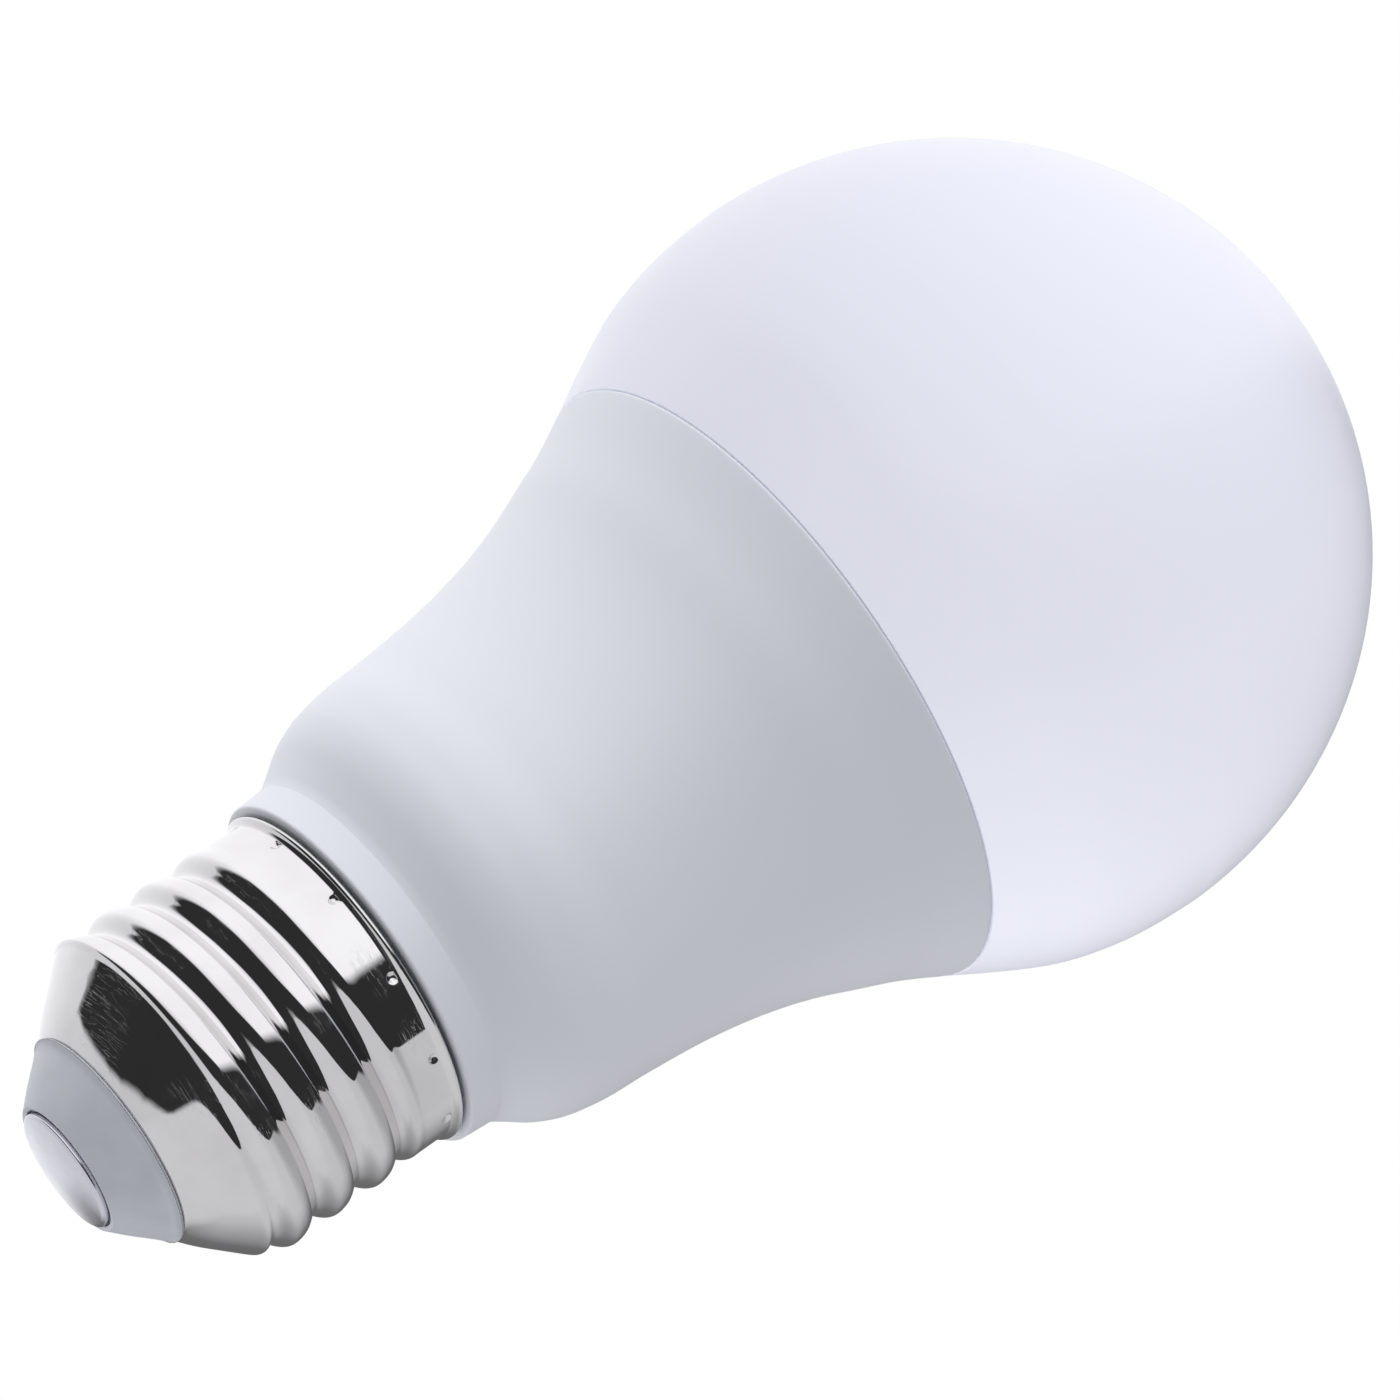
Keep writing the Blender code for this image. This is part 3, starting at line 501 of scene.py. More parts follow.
def pit_depth(z, angle):
    """How deep the punched pits are: a bowl, one less the square of the share of the way to its edge, all
    squared, measured over the surface from the nearest of the evenly spaced pits."""
    spacing = 2 * np.pi / PIT_COUNT
    across = ((angle - FIRST_PIT + spacing / 2) % spacing - spacing / 2) * SHELL_SKIRT_RADIUS
    share = np.clip(np.hypot(across, z - PIT_Z) / PIT_EDGE, 0, 1)
    return PIT_DEPTH * (1 - share**2) ** 2


print("crest at", shell_radius(THREAD_START_Z + THREAD_PITCH, 0.0).round(3))

# %% [markdown]
# The columns are bunched where the pits are, so that their round edges stay crisp without spending
# faces in between. The same trick is used for the rows. The rim is a list of offsets that carry on
# from the skirt, and the inner wall is the outer one less the thickness of the sheet.

# %% Build the screw shell
SHELL_COLUMNS, BUNCHING = 396, 0.72
steps = around(SHELL_COLUMNS)
angles = steps - BUNCHING * np.sin(PIT_COUNT * (steps - FIRST_PIT)) / PIT_COUNT
outer_z = np.concatenate([
    [4.5, 4.52, 4.58, 4.66, 4.8], np.arange(5.0, 7.3, 0.2), np.arange(7.3, 21.95, 0.12),
    np.arange(22.0, 23.05, 0.15), np.arange(23.08, 23.96, 0.044),
])
z, angle = outer_z[:, None], angles[None, :]
outer = shell_radius(z, angle) - pit_depth(z, angle)
FOOT_ROLL = np.array([0.05, 0.03, 0.01])
outer[:3] -= FOOT_ROLL[:, None]
RIM = [(12.87, 23.97), (12.885, 24.03), (12.92, 24.09), (12.965, 24.15), (13.02, 24.21), (13.09, 24.28),
       (13.16, 24.34), (13.22, 24.39), (13.265, 24.44), (13.293, 24.49), (13.3, 24.55), (13.293, 24.61),
       (13.265, 24.67), (13.22, 24.71), (13.16, 24.74), (13.09, 24.75), (13.02, 24.73), (12.97, 24.68),
       (12.93, 24.6), (12.9, 24.5)]
rim = np.array(RIM)
inner_z = np.concatenate([np.arange(23.9, 7.0, -0.55), [6.0, 5.2, 4.8, 4.62, 4.54]])
inner = shell_radius(inner_z[:, None], angle) - SHELL_WALL
heights = np.concatenate([outer_z, rim[:, 1], inner_z])
radii = np.vstack([outer, np.repeat(rim[:, :1], SHELL_COLUMNS, axis=1), inner])
shell = skin("threaded_cap", round_grid(radii, angle, heights[:, None]), closed=True)
finished(shell, nickel, "screw_shell")

# %% [markdown]
# ## The insulator
# A grey plastic plug carries the contact in the foot of the cap. It is a simple turned section, with
# its edge rounded and standing a little proud of the metal. Its moulded skin has a fine even grain.

# %% Grey moulded plastic and the insulator
insulator_finish = everyday(
    "insulator_plastic", (0.565, 0.592, 0.632), 0.42, drift=0.035, patch=320.0, grain=3600.0, depth=0.006
)
INSULATOR = [
    (1.7, 1.35), (4.75, 1.35), (4.75, 0.86), (5.1, 0.8), (6.3, 2.05), (7.7, 3.65), (8.35, 4.3), (8.3, 4.5),
    (7.7, 4.5), (7.7, 6.6), (1.7, 6.6),
]
INSULATOR_CORNERS = [0.05, 0.05, 0.05, 0.12, 0, 0, 0.22, 0.1, 0.03, 0.15, 0.0]
section = softened_section(INSULATOR + INSULATOR[:1], INSULATOR_CORNERS)
insulator = turned("grey_insulator", section[:-1], 160)
finished(insulator, insulator_finish, "cap_insulator")

# %% [markdown]
# ## The centre contact
# The contact is a rivet of tinned brass: a shallow disc with a rolled edge, and a hollow shank that
# holds the live wire. Its face is rubbed by lamp sockets, so it is brushed in every direction and
# duller than the shell.

# %% Rubbed metal and the contact
contact_metal, recipe = new_finish("rubbed_contact", metallic=1.0)
where = recipe.place()
rubbed = recipe.noise(900.0, where, 5.0, 0.7)
worn = recipe.noise(350.0, where, 3.0)
recipe.dress(
    recipe.blend(recipe.spread(worn, 0.35, 0.65), (0.74, 0.74, 0.80), (0.79, 0.79, 0.855)),
    recipe.spread(rubbed, 0.3, 0.7, 0.15, 0.22), recipe.bump(rubbed, 0.0004 * MM),
)
CONTACT = [
    (4.4, 0.41), (4.6, 0.56), (4.6, 1.05), (1.4, 1.05), (1.4, 5.0), (0.7, 5.0), (0.7, 1.45), (0.0, 1.45),
]
DOME_RADIUS = 23.7
face_radii = np.linspace(0.0, 4.3, 14)
face = np.stack([face_radii, face_radii**2 / (2 * DOME_RADIUS)], axis=1)
section = np.vstack([face, softened_section(CONTACT, [0.1, 0.12, 0.1, 0.1, 0.1, 0.05])])
rivet = turned("rivet_contact", section, 128)
finished(rivet, contact_metal, "centre_contact")

# %% [markdown]
# ## The housing
# The body of the bulb is moulded in white plastic. Its outside follows a smooth curve through a few
# measured places, and the same curve less the wall makes the inside. The collar under it is a short
# plain band. The skin has a very fine satin grain from the mould, too small to see but enough to
# spread every highlight.

# %% White moulded plastic
housing_finish, recipe = new_finish("housing_plastic", **{"IOR": 1.5, "Specular IOR Level": 0.6})
where = recipe.place()
flow = recipe.noise(45.0, where, 3.0)
grain = recipe.noise(2600.0, where, 3.0, 0.6)
recipe.dress(
    recipe.blend(flow, (0.775, 0.805, 0.849), (0.787, 0.817, 0.861)),
    recipe.spread(grain, 0.3, 0.7, 0.38, 0.46), recipe.bump(grain, 0.0010 * MM),
)
print("housing plastic has", len(recipe.tree.nodes), "nodes")

# %% [markdown]
# The housing is one turned section. It goes up the outside, over the lip where the globe rests, and
# back down the inside, which bulges in under the waist and ends in the neck that fills the cap. The
# radius at any height comes from one function, because the cup and the globe must follow it too.

# %% Build the housing
HOUSING_CURVE = [
    (28.0, 14.1), (29.2, 14.9), (30.5, 15.82), (32.0, 16.55), (34.5, 17.15), (39.0, 17.52),
    (44.0, 18.05), (47.0, 18.57), (50.0, 19.28), (53.0, 20.23), (56.0, 21.45), (59.0, 22.69), (62.6, 24.55),
]
HOUSING_WALL = 1.25
LIP_TOP_Z = 62.75
SEAT_FLOOR_Z = 60.7


def housing_radius(z):
    return curve_through(HOUSING_CURVE, z)


def wall_points(z, inset=0.0):
    return np.stack([housing_radius(z) - inset, z], axis=1)


collar = softened_section(
    [(11.5, 9.2), (11.5, 25.05), (13.8, 25.05), (13.97, 27.52), (14.12, 28.0)], [0.12, 0.2, 0.06]
)
side = wall_points(np.arange(28.3, 62.3, 0.34))
LIP_WIDTH = 1.1
lip_radius, seat_radius = housing_radius([62.6, SEAT_FLOOR_Z]).tolist()
lip = softened_section([
    side[-1], (lip_radius + 0.06, LIP_TOP_Z), (lip_radius - LIP_WIDTH, LIP_TOP_Z),
    (seat_radius - LIP_WIDTH, SEAT_FLOOR_Z),
], [0.2, 0.1])
inside = wall_points(np.linspace(SEAT_FLOOR_Z - 0.05, 34.5, 40), HOUSING_WALL)
bulge = [(14.9, 32.4), (13.6, 30.4), (11.6, 28.4), (10.0, 26.5), (10.0, 9.2)]
section = np.vstack([collar, side, lip[1:], inside, bulge])
housing = turned("moulded_housing", section, 256)
finished(housing, housing_finish, "housing_shell")

# %% [markdown]
# ## The opal globe
# The globe is a milky ball that hides the lamps and glows evenly when they are lit. Daylight that
# enters it runs round inside and comes out on its shaded side, so its shadows are paler than those
# of the housing. Tracing all that light would be slow and grainy. A thin satin coat gives the broad
# soft highlight, and one very wide lamp that lights only the globe stands for the light inside.

# %% Opal plastic
opal, recipe = new_finish(
    "opal_diffuser", **{"IOR": 1.5, "Specular IOR Level": 0.42, "Coat Weight": 0.05, "Coat Roughness": 0.2}
)
where = recipe.place()
cloud = recipe.noise(30.0, where, 2.0)
grain = recipe.noise(260.0, where, 2.0)
recipe.dress(
    recipe.blend(cloud, (0.646, 0.660, 0.733), (0.654, 0.668, 0.741)),
    recipe.spread(grain, 0.3, 0.7, 0.28, 0.32), recipe.bump(grain, 0.0012 * MM),
)
print("opal has", len(recipe.tree.nodes), "nodes")

# %% [markdown]
# The globe's lower half is a smooth curve that carries on from the housing, and its top is a dome a
# hair taller than a true half ball. Below them a shoulder rests on the housing's lip, and a short plug
# drops inside it to be glued. The section runs down the inside, round the foot and up the outside.

# %% Build the globe
GLOBE_RADIUS = 30.0
GLOBE_CENTRE_Z = 79.5
GLOBE_WALL = 1.2
DOME_RISE = 30.4
GLOBE_FOOT_Z = 62.765
PLUG_FOOT_Z = 61.0
GLOBE_CURVE = [(62.9, 24.7), (66.0, 26.42), (70.0, 28.36), (74.0, 29.46), (79.5, 30.0)]

plug = housing_radius(np.array([PLUG_FOOT_Z, 62.6])) - 1.4
low = np.arange(63.3, GLOBE_CENTRE_Z, 0.4)
low_radius = curve_through(GLOBE_CURVE, low)
swing = np.radians(np.arange(0, 90, 1.0))
dome = np.stack([GLOBE_RADIUS * np.cos(swing), GLOBE_CENTRE_Z + DOME_RISE * np.sin(swing)], 1)
SHOULDER_RADIUS, PLUG_WALL = 24.62, 1.15
foot = softened_section([
    (plug[0] - PLUG_WALL, PLUG_FOOT_Z), (plug[0], PLUG_FOOT_Z), (plug[1], GLOBE_FOOT_Z),
    (SHOULDER_RADIUS, GLOBE_FOOT_Z), (low_radius[0], low[0]),
], [0.2, 0.05, 0.04])
inner = GLOBE_RADIUS - GLOBE_WALL
back_swing = np.radians(np.arange(88, -1, -2.0))
inner_dome = np.stack([inner * np.cos(back_swing), GLOBE_CENTRE_Z + inner * np.sin(back_swing)], 1)
inner_low = np.arange(78.5, 64.0, -1.0)
inner_side = np.stack([curve_through(GLOBE_CURVE, inner_low) - GLOBE_WALL - 0.1, inner_low], 1)
section = np.vstack([
    [[0, GLOBE_CENTRE_Z + inner]], inner_dome, inner_side, foot, np.stack([low_radius, low], 1)[1:],
    dome, [[0, GLOBE_CENTRE_Z + DOME_RISE]],
])
globe = turned("opal_globe", section, 256)
finished(globe, opal, "diffuser_globe", body="diffuser")

# %% [markdown]
# Now the light that the opal plastic spreads inside itself. A sun lamp as wide as half the sky has no
# edge and no direction to speak of, and it needs no shadow. It comes from the lower right, the side
# that the room leaves dimmer, and light linking keeps it off every other piece.

# %% Light that runs round inside the globe
INNER_LIGHT, INNER_FROM = 2.15, (0.45, 0.0, -0.45)
lamp = bpy.data.objects.new("inner_light", bpy.data.lights.new("inner_light", "SUN"))
lamp.data.energy, lamp.data.angle = INNER_LIGHT, math.radians(180)
lamp.data.use_shadow = False
lamp.rotation_mode = "QUATERNION"
lamp.rotation_quaternion = Vector(INNER_FROM).to_track_quat("Z", "Y")
lamp.visible_glossy = False
scene.collection.objects.link(lamp)
lit = bpy.data.collections.new("lit_from_inside")
lit.objects.link(globe)
lamp.light_linking.receiver_collection = lit

# %% [markdown]
# ## Blocks with soft edges
# Chips, lamps, cans and connectors are all blocks with rounded corners. We stack rings: each ring is
# a rounded rectangle drawn in by some inset and lifted to some height. A list of (inset, height) pairs
# then shapes the edge, and it can even step down again inside to make a window in the top.

# %% Stacked rings, drills and cuts
def stacked(name, half, corner, profile, centre=(0.0, 0.0), degrees=0.0, along="Z"):
    """Round each corner of the ring, a point is the corner's centre plus its radius times the cosine and
    sine of its angle. An inset shrinks the radius first, and then the rectangle. The stack rises along
    Z, or along Y with its centre in X and Z."""
    inset, height = np.array(profile, float).T
    angle = np.radians(np.repeat(np.arange(4) * 90.0, 7) + np.tile(np.linspace(0, 90, 7), 4))
    side_x = np.repeat([1.0, -1.0, -1.0, 1.0], 7)
    side_y = np.repeat([1.0, 1.0, -1.0, -1.0], 7)
    radius = np.maximum(corner - inset, 0.02)[:, None]
    u = side_x * (half[0] - inset[:, None] - radius) + radius * np.cos(angle)
    v = side_y * (half[1] - inset[:, None] - radius) + radius * np.sin(angle)
    turn = np.radians(degrees)
    u, v = u * np.cos(turn) - v * np.sin(turn), u * np.sin(turn) + v * np.cos(turn)
    w = np.repeat(height[:, None], len(angle), axis=1)
    v = v + centre[1]
    grid = [u + centre[0], v, w] if along == "Z" else [centre[0] - u, w, v]
    made = skin(name, np.stack(grid, axis=-1), first_cap=True, last_cap=True)
    made.data.set_sharp_from_angle(angle=math.radians(50))
    return made


def soft_block(low, high, edge):
    """The profile of a block: both its ends are rounded by a quarter circle."""
    t = np.radians(np.array([0.0, 30.0, 60.0, 90.0]))
    foot = np.stack([edge * (1 - np.sin(t)), low + edge * (1 - np.cos(t))], 1)
    head = np.stack([edge * (1 - np.cos(t)), high - edge * (1 - np.sin(t))], 1)
    return np.vstack([foot, head])


def cut(piece, cutters):
    """Cuts the cutters out of the piece for good, and removes them."""
    for cutter in cutters:
        tool = piece.modifiers.new("cut", "BOOLEAN")
        tool.object, tool.operation, tool.solver = cutter, "DIFFERENCE", "EXACT"
    graph = bpy.context.evaluated_depsgraph_get()
    solid = bpy.data.meshes.new_from_object(piece.evaluated_get(graph))
    piece.modifiers.clear()
    piece.data = solid
    for cutter in cutters:
        bpy.data.objects.remove(cutter)
    piece.data.set_sharp_from_angle(angle=math.radians(35))
    return piece


def drill(name, radius, low, high, place):
    return turned(name, [(0, low), (radius, low), (radius, high), (0, high)], 32, place)


def ring_place(radius, degrees):
    """A place on a ring round the axis."""
    return (radius * math.cos(math.radians(degrees)), radius * math.sin(math.radians(degrees)))


SCREW_DEGREES, SCREW_RING, SCREW_HOLE = (30.0, 150.0, 270.0), 17.2, 1.2
print("block helpers ready")

# %% [markdown]
# ## What shows when the globe comes off
# Under the globe a drawn aluminium cup carries the heat away. Its ledge holds a soft grey ring of
# thermal paste, and a bead of silicone runs round the globe's plug. All three are turned sections.
# The cup is stretched as it is drawn, so its fine lines run up and down the wall.

# %% The cup, the paste and the bead
cup_finish = everyday(
    "drawn_aluminium", (0.74, 0.75, 0.77), 0.34, 1.0, grain=2600.0, depth=0.003, stretch=(1.0, 1.0, 0.08)
)
paste_finish = everyday("thermal_paste", (0.74, 0.74, 0.75), 0.62, drift=0.06, grain=1500.0, depth=0.03)
bead_finish = everyday("silicone", (0.80, 0.80, 0.82), 0.3, drift=0.03, patch=400.0, grain=700.0, depth=0.03)
CUP_WALL, CUP_GAP, CUP_FOOT_Z, CUP_RIM_Z = 0.85, 1.55, 34.0, 59.8
LEDGE_LOW_Z, LEDGE_TOP_Z, LEDGE_RADIUS, WAIST_Z = 57.0, 57.8, 13.0, 55.0
outside = wall_points(np.linspace(CUP_FOOT_Z, CUP_RIM_Z - 0.35, 30), CUP_GAP)
rim_radius = float(housing_radius(CUP_RIM_Z)) - CUP_GAP
ledge_outer, under_outer, waist = (
    housing_radius([LEDGE_TOP_Z, LEDGE_LOW_Z, WAIST_Z]) - CUP_GAP - CUP_WALL
).tolist()
lip_and_ledge = softened_section([
    outside[-1], (rim_radius, CUP_RIM_Z), (rim_radius - CUP_WALL, CUP_RIM_Z), (ledge_outer, LEDGE_TOP_Z),
    (LEDGE_RADIUS, LEDGE_TOP_Z), (LEDGE_RADIUS, LEDGE_LOW_Z), (under_outer, LEDGE_LOW_Z), (waist, WAIST_Z),
], [0.3, 0.3, 0.4, 0.15, 0.15, 0.4])
inside = wall_points(np.linspace(54.5, CUP_FOOT_Z, 26), CUP_GAP + CUP_WALL)
cup = turned("drawn_cup", np.vstack([outside, lip_and_ledge[1:], inside]), 192)
holes = [
    drill(f"ledge_cutter_{i}", SCREW_HOLE, 56, 59, ring_place(SCREW_RING, degrees))
    for i, degrees in enumerate(SCREW_DEGREES)
]
finished(cut(cup, holes), cup_finish, "heat_sink_cup")
PASTE = [(13.6, 58.1), (15.4, 58.1), (15.4, 58.4), (13.3, 58.4), (13.3, 58.1), (13.6, 58.1)]
paste = turned("thermal_ring", softened_section(PASTE, [0.1, 0.1, 0.1, 0.1])[:-1], 128)
finished(paste, paste_finish, "thermal_pad")
BEAD_RADIUS, BEAD_Z, BEAD_HALF = 21.0, 60.4, 0.3
t = around(16)
bead = np.stack([BEAD_RADIUS + BEAD_HALF * np.cos(t), BEAD_Z + BEAD_HALF * np.sin(t)], 1)
bead = turned("silicone_bead", bead, 192)
finished(bead, bead_finish, "diffuser_adhesive_bead")

# %% [markdown]
# ## The light board
# The lamps sit on a round aluminium plate under white solder mask. Copper tracks run under the mask
# and lift it a little, so each shows as a faint darker band with a soft step. Here the tracks are
# rings, worked out from the distance to the axis. The board is cut for the antenna board, the power
# pins and three screws, as the real one is punched.

# %% White solder mask and the light board
board_finish, recipe = new_finish("white_solder_mask", **{"IOR": 1.5, "Specular IOR Level": 0.5})
where = recipe.place()
flat = recipe.add("VectorMath", {0: where, 1: (1.0, 1.0, 0.0)}, operation="MULTIPLY")
from_axis = recipe.add("VectorMath", {0: flat}, output=1, operation="LENGTH")
TRACK_RINGS, TRACK_EDGE = (9.9, 15.6, 18.2), (0.42 * MM, 0.52 * MM)
track = 0.0
for middle in TRACK_RINGS:
    band = recipe.spread(recipe.apart(from_axis, middle * MM), *TRACK_EDGE, 1.0, 0.0)
    track = recipe.sum("MAXIMUM", track, band)
patchy = recipe.noise(420.0, where, 3.0)
peel = recipe.noise(2200.0, where, 2.0)
mask_colour = recipe.blend(recipe.spread(patchy, 0.3, 0.7), (0.80, 0.81, 0.80), (0.86, 0.865, 0.86))
mask_colour = recipe.blend(recipe.times(track, 0.5), mask_colour, (0.66, 0.66, 0.62))
recipe.dress(
    mask_colour, recipe.spread(peel, 0.3, 0.7, 0.26, 0.38),
    recipe.bump(peel, 0.004 * MM, recipe.bump(track, 0.035 * MM)),
)
BOARD_LOW_Z, BOARD_TOP_Z, BOARD_RADIUS = 58.7, 59.9, 19.8
edge = softened_section(
    [(0, BOARD_LOW_Z), (BOARD_RADIUS, BOARD_LOW_Z), (BOARD_RADIUS, BOARD_TOP_Z), (0, BOARD_TOP_Z)],
    [0.12, 0.12],
)
board = turned("light_board", edge, 192)
SLOT_HALF, SLOT_PLACE = (7.3, 0.7), (0.0, 2.0)
PIN_PITCH, PIN_Y, PIN_HOLE = 2.54, -1.0, 0.72
holes = [(ring_place(SCREW_RING, degrees), SCREW_HOLE) for degrees in SCREW_DEGREES]
holes += [(((i - 1.5) * PIN_PITCH, PIN_Y), PIN_HOLE) for i in range(4)]
cutters = [stacked("slot_cutter", SLOT_HALF, 0.3, [(0, 57), (0, 62)], SLOT_PLACE)]
for i, (place, radius) in enumerate(holes):
    cutters.append(drill(f"hole_cutter_{i}", radius, 57, 62, place))
finished(cut(board, cutters), board_finish, "led_board")

# %% [markdown]
# ## The lamps on the board
# Each small lamp is a white plastic cup filled with resin. In the white lamps the resin holds yellow
# phosphor, deeper in the warm ones. In the colour lamps it is clear and shows dark chips. A number
# stored on every point tells the finish what is resin and what is package.

# %% Make twenty lamps
RESIN_ROWS, LAMP_LOW_Z, LAMP_RING, COLOUR_LAMP_PLACE = 3, 60.2, 12.8, 6.2
LAMP_SIZE, COLOUR_LAMP_SIZE = (3.5, 2.8, 0.7), (3.5, 3.5, 0.9)


def lamp_finish(name, resin, roughness):
    """White cup plastic where the resin attribute is 0, and the resin's colour where it is 1."""
    made, recipe = new_finish(name)
    where = recipe.place()
    cloudy, fine = recipe.noise(900.0, where, 3.0), recipe.noise(5200.0, where, 2.0)
    in_resin = recipe.add("Attribute", output=2, attribute_name="resin")
    package = recipe.blend(cloudy, (0.80, 0.80, 0.78), (0.86, 0.86, 0.84))
    filling = recipe.blend(cloudy, tuple(0.86 * part for part in resin), resin)
    recipe.dress(
        recipe.blend(in_resin, package, filling), recipe.spread(in_resin, 0.0, 1.0, 0.45, roughness),
        recipe.bump(fine, 0.004 * MM),
    )
    return made


def lamp_on_board(name, size, place, degrees, material, node):
    """A stack of rings up the outside, over the rim and down into the window, then level to the middle."""
    length, width, height = size
    low, high = LAMP_LOW_Z, LAMP_LOW_Z + height
    profile = [
        (0.06, low), (0.0, low + 0.06), (0.0, high - 0.08), (0.03, high - 0.02), (0.1, high), (0.36, high),
        (0.41, high - 0.02), (0.47, high - 0.1), (0.5, high - 0.11), (0.8, high - 0.12), (1.1, high - 0.13),
    ]
    made = stacked(name, (length / 2, width / 2), 0.2, profile, place, degrees)
    ring = (len(made.data.vertices) - 2) // len(profile)
    resin = np.zeros(len(made.data.vertices), np.float32)
    resin[(len(profile) - RESIN_ROWS) * ring : -2] = 1.0
    resin[-1] = 1.0
    made.data.attributes.new("resin", "FLOAT", "POINT").data.foreach_set("value", resin)
    finished(made, material, node)


LAMP_FINISHES = {
    "warm": lamp_finish("warm_phosphor", (0.93, 0.56, 0.12), 0.35),
    "cool": lamp_finish("cool_phosphor", (0.93, 0.80, 0.22), 0.35),
    "colour": lamp_finish("clear_resin", (0.36, 0.38, 0.36), 0.08),
}
for i in range(16):
    kind = "cool" if i % 2 else "warm"
    degrees = (i + 0.5) * 22.5
    lamp_on_board(
        f"{kind}_lamp_{i // 2 + 1}", LAMP_SIZE, ring_place(LAMP_RING, degrees), degrees,
        LAMP_FINISHES[kind], f"{kind}_led_{i // 2 + 1}",
    )
for number, (x, y) in enumerate([(1, 1), (-1, 1), (-1, -1), (1, -1)], 1):
    place = (COLOUR_LAMP_PLACE * x, COLOUR_LAMP_PLACE * y)
    lamp_on_board(
        f"colour_lamp_{number}", COLOUR_LAMP_SIZE, place, 0.0, LAMP_FINISHES["colour"],
        f"colour_led_{number}",
    )
print("lamps made:", len([name for name in pieces_made if "_lamp_" in name]))

# %% [markdown]
# ## Screws with a cross
# A pan-head screw has a low domed head with a cross sunk in it. The head is a disc of rings. Its height
# falls with the distance from the middle, and the cross is taken off wherever a point is close to
# either arm and not too far out. The shank below is plain, because the board hides it.

# %% Make the screws
steel_finish = everyday(
    "tinned_steel", (0.63, 0.63, 0.65), 0.26, 1.0, drift=0.06, patch=900.0, grain=3800.0, depth=0.003
)
HEAD_LOW_Z, HEAD_TOP_Z, HEAD_RADIUS, SHANK_RADIUS, TIP_Z = 60.2, 61.5, 1.7, 0.9, 54.5
CROSS_HALF, CROSS_REACH, CROSS_DEPTH = 0.17, 0.85, 0.6


def screw(name, place, degrees):
    """The shank and the edge of the head are a turned section. The face is rings of radius r at the top
    less the square of r over a length, less the cross."""
    angle = around(72)
    edge = softened_section([
        (0.05, TIP_Z), (SHANK_RADIUS, TIP_Z + 1.0), (SHANK_RADIUS, HEAD_LOW_Z), (HEAD_RADIUS, HEAD_LOW_Z),
        (HEAD_RADIUS, HEAD_LOW_Z + 0.75),
    ], [0.1, 0.05, 0.1])
    rings = np.concatenate([np.linspace(HEAD_RADIUS - 0.01, 1.3, 6), np.arange(1.25, 0.04, -0.05)])
    radius = np.concatenate([edge[:, 0], rings])[:, None]
    share = (rings / HEAD_RADIUS)[:, None]
    x, y = rings[:, None] * np.cos(angle), rings[:, None] * np.sin(angle)

    def arm(along, across):
        reached = np.clip((CROSS_REACH - np.abs(along)) / 0.12, 0, 1)
        return reached * np.clip((CROSS_HALF - np.abs(across)) / 0.06, 0, 1)

    face = HEAD_TOP_Z - 0.55 * share**4 - 0.02 - CROSS_DEPTH * np.maximum(arm(x, y), arm(y, x))
    heights = np.vstack([np.repeat(edge[:, 1:], len(angle), axis=1), face])
    grid = round_grid(radius, angle + math.radians(degrees), heights, place)
    made = skin(name, grid, first_cap=True, last_cap=True)
    made.data.set_sharp_from_angle(angle=math.radians(40))
    return made


for number, degrees in enumerate(SCREW_DEGREES, 1):
    made = screw(f"pan_screw_{number}", ring_place(SCREW_RING, degrees), 25.0 * number)
    finished(made, steel_finish, f"board_screw_{number}")

# %% [markdown]
# ## The antenna board and its can
# The radio's board is thin and black, and its antenna is a copper track that zigzags across the end
# that stands up into the globe. The track is drawn by the finish: bars at an even pitch joined at
# their ends in turn. A pressed steel can shields the radio itself, and a black connector joins the
# board to the driver below.

# %% Black solder mask with a zigzag track
antenna_finish, recipe = new_finish("black_solder_mask", **{"IOR": 1.5})
where = recipe.place()
parts = recipe.add("SeparateXYZ", {0: where}).node.outputs
PITCH, TRACK_LOW, TRACK_HIGH, TRACK_HALF = 1.5 * MM, 62.2 * MM, 72.7 * MM, 5.6 * MM
JOIN_WIDTH, EDGE = 0.5 * MM, 0.05 * MM
step = recipe.sum("DIVIDE", recipe.sum("SUBTRACT", parts[2], TRACK_LOW), PITCH)
# A bar lies in the middle of each step, and its ends are cut off at the side of the track
bar = recipe.spread(recipe.apart(recipe.sum("FRACT", step), 0.5), 0.16, 0.2, 1.0, 0.0)
inside_x = recipe.spread(recipe.sum("ABSOLUTE", parts[0]), TRACK_HALF, TRACK_HALF + EDGE, 1.0, 0.0)
# Between two bars the joining piece is on the right where the count is even, and on the left where odd
count = recipe.sum("FLOOR", recipe.sum("ADD", step, 0.5))
even = recipe.sum("COMPARE", recipe.sum("FLOORED_MODULO", count, 2.0), 0.0, 0.5)
end = recipe.times(parts[0], recipe.sum("MULTIPLY_ADD", even, 2.0, -1.0))
joining = recipe.spread(end, TRACK_HALF - JOIN_WIDTH, TRACK_HALF - JOIN_WIDTH + EDGE)
joining = recipe.times(joining, inside_x)
track = recipe.sum("MAXIMUM", recipe.times(bar, inside_x), joining)
above = recipe.spread(parts[2], TRACK_LOW, TRACK_LOW + EDGE)
below = recipe.spread(parts[2], TRACK_HIGH, TRACK_HIGH + EDGE, 1.0, 0.0)
track = recipe.times(track, recipe.times(above, below))
fine = recipe.noise(2400.0, where, 3.0)
mask = recipe.blend(fine, (0.012, 0.014, 0.018), (0.022, 0.024, 0.03))
recipe.dress(
    recipe.blend(track, mask, (0.16, 0.10, 0.045)), recipe.spread(fine, 0.3, 0.7, 0.24, 0.36),
    recipe.bump(fine, 0.003 * MM, recipe.bump(track, 0.03 * MM)),
)
print("antenna finish has", len(recipe.tree.nodes), "nodes")

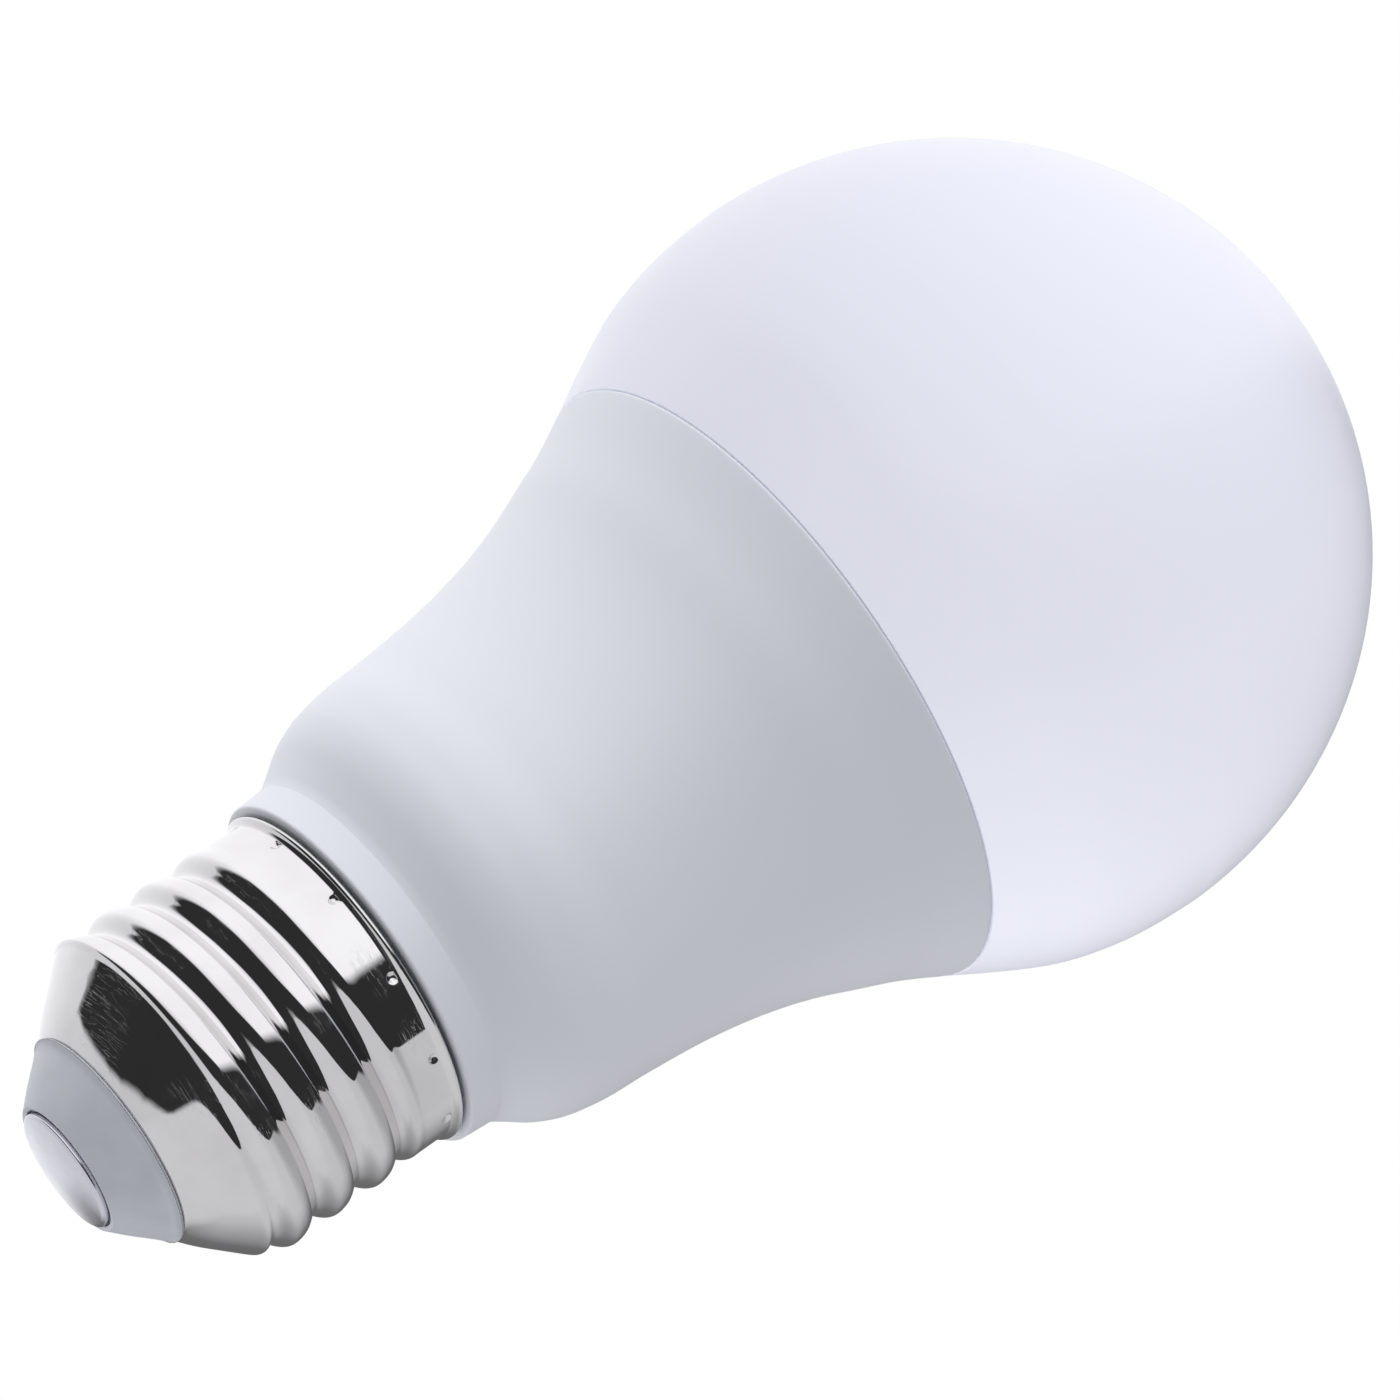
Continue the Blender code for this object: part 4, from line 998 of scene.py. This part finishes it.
# %% [markdown]
# The three pieces are blocks that rise along Y. Only the can is pressed, so it has the
# widest rounding, and it shares its tinned steel with the screws.

# %% Build the antenna board, the can and the connector
antenna = stacked("antenna_board", (7.0, 15.0), 0.4, soft_block(1.6, 2.4, 0.05), (0.0, 59.0), along="Y")
finished(antenna, antenna_finish, "radio_board")
can = stacked("shield_can", (5.6, 4.9), 0.7, soft_block(2.7, 5.0, 0.3), (0.0, 50.9), along="Y")
finished(can, steel_finish, "radio_shield_can")
black_finish = everyday("black_plastic", (0.02, 0.02, 0.022), 0.4, grain=4200.0, depth=0.006)
profile = soft_block(-2.1, 1.3, 0.15)
connector = stacked("radio_connector", (5.0, 1.25), 0.2, profile, (0.0, 45.75), along="Y")
finished(connector, black_finish, "radio_header")

# %% [markdown]
# ## Finishes for the carried-over pieces
# The boards, coils and capacitors keep the shapes the CAD gives them. Each still gets a finish of its
# own, with its own drift, gloss and grain, because a single flat colour never looks like a material.

# %% Finish the carried-over pieces
CARRIED_OVER = {
    "green_circuit_board": ((0.03, 0.19, 0.08), 0.35, ["driver_board"]),
    "capacitor_sleeve": ((0.03, 0.03, 0.06), 0.3, ["bulk_capacitor", "output_capacitor"]),
    "ferrite": ((0.06, 0.06, 0.065), 0.6, ["drum_inductor", "transformer_core"]),
    "winding_tape": ((0.80, 0.60, 0.10), 0.35, ["transformer_winding"]),
    "resistor_enamel": ((0.33, 0.42, 0.38), 0.5, ["fuse_resistor"]),
    "varistor_coat": ((0.04, 0.12, 0.42), 0.35, ["varistor"]),
    "film_capacitor_case": ((0.72, 0.50, 0.08), 0.4, ["film_capacitor"]),
    "red_insulation": ((0.50, 0.03, 0.03), 0.4, ["live_wire"]),
    "black_insulation": ((0.03, 0.03, 0.03), 0.4, ["neutral_wire"]),
}
# The header, the bridge and the chips are moulded in the same black as the connector
MOULDED_BLACK = ["led_board_header", "bridge_rectifier", "driver_ic", "standby_regulator", "output_diode"]
finish_of = dict.fromkeys(MOULDED_BLACK, black_finish)
for finish_name, (colour, roughness, nodes) in CARRIED_OVER.items():
    finish_of.update(dict.fromkeys(nodes, everyday(finish_name, colour, roughness)))
for name, node in sorted(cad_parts.items()):
    if node.hide_render:
        continue
    for holder in node.material_slots:
        holder.material = finish_of[name]
    if not node.material_slots:
        node.data.materials.append(finish_of[name])
print("carried-over pieces with a finish:", len(finish_of))

# %% [markdown]
# ## The pieces made
# The looks must not change the size of the bulb. We print how many pieces were made again and how many faces
# they have.

# %% Count the pieces
print("pieces made:", len(pieces_made), "faces:", sum(pieces_made.values()))
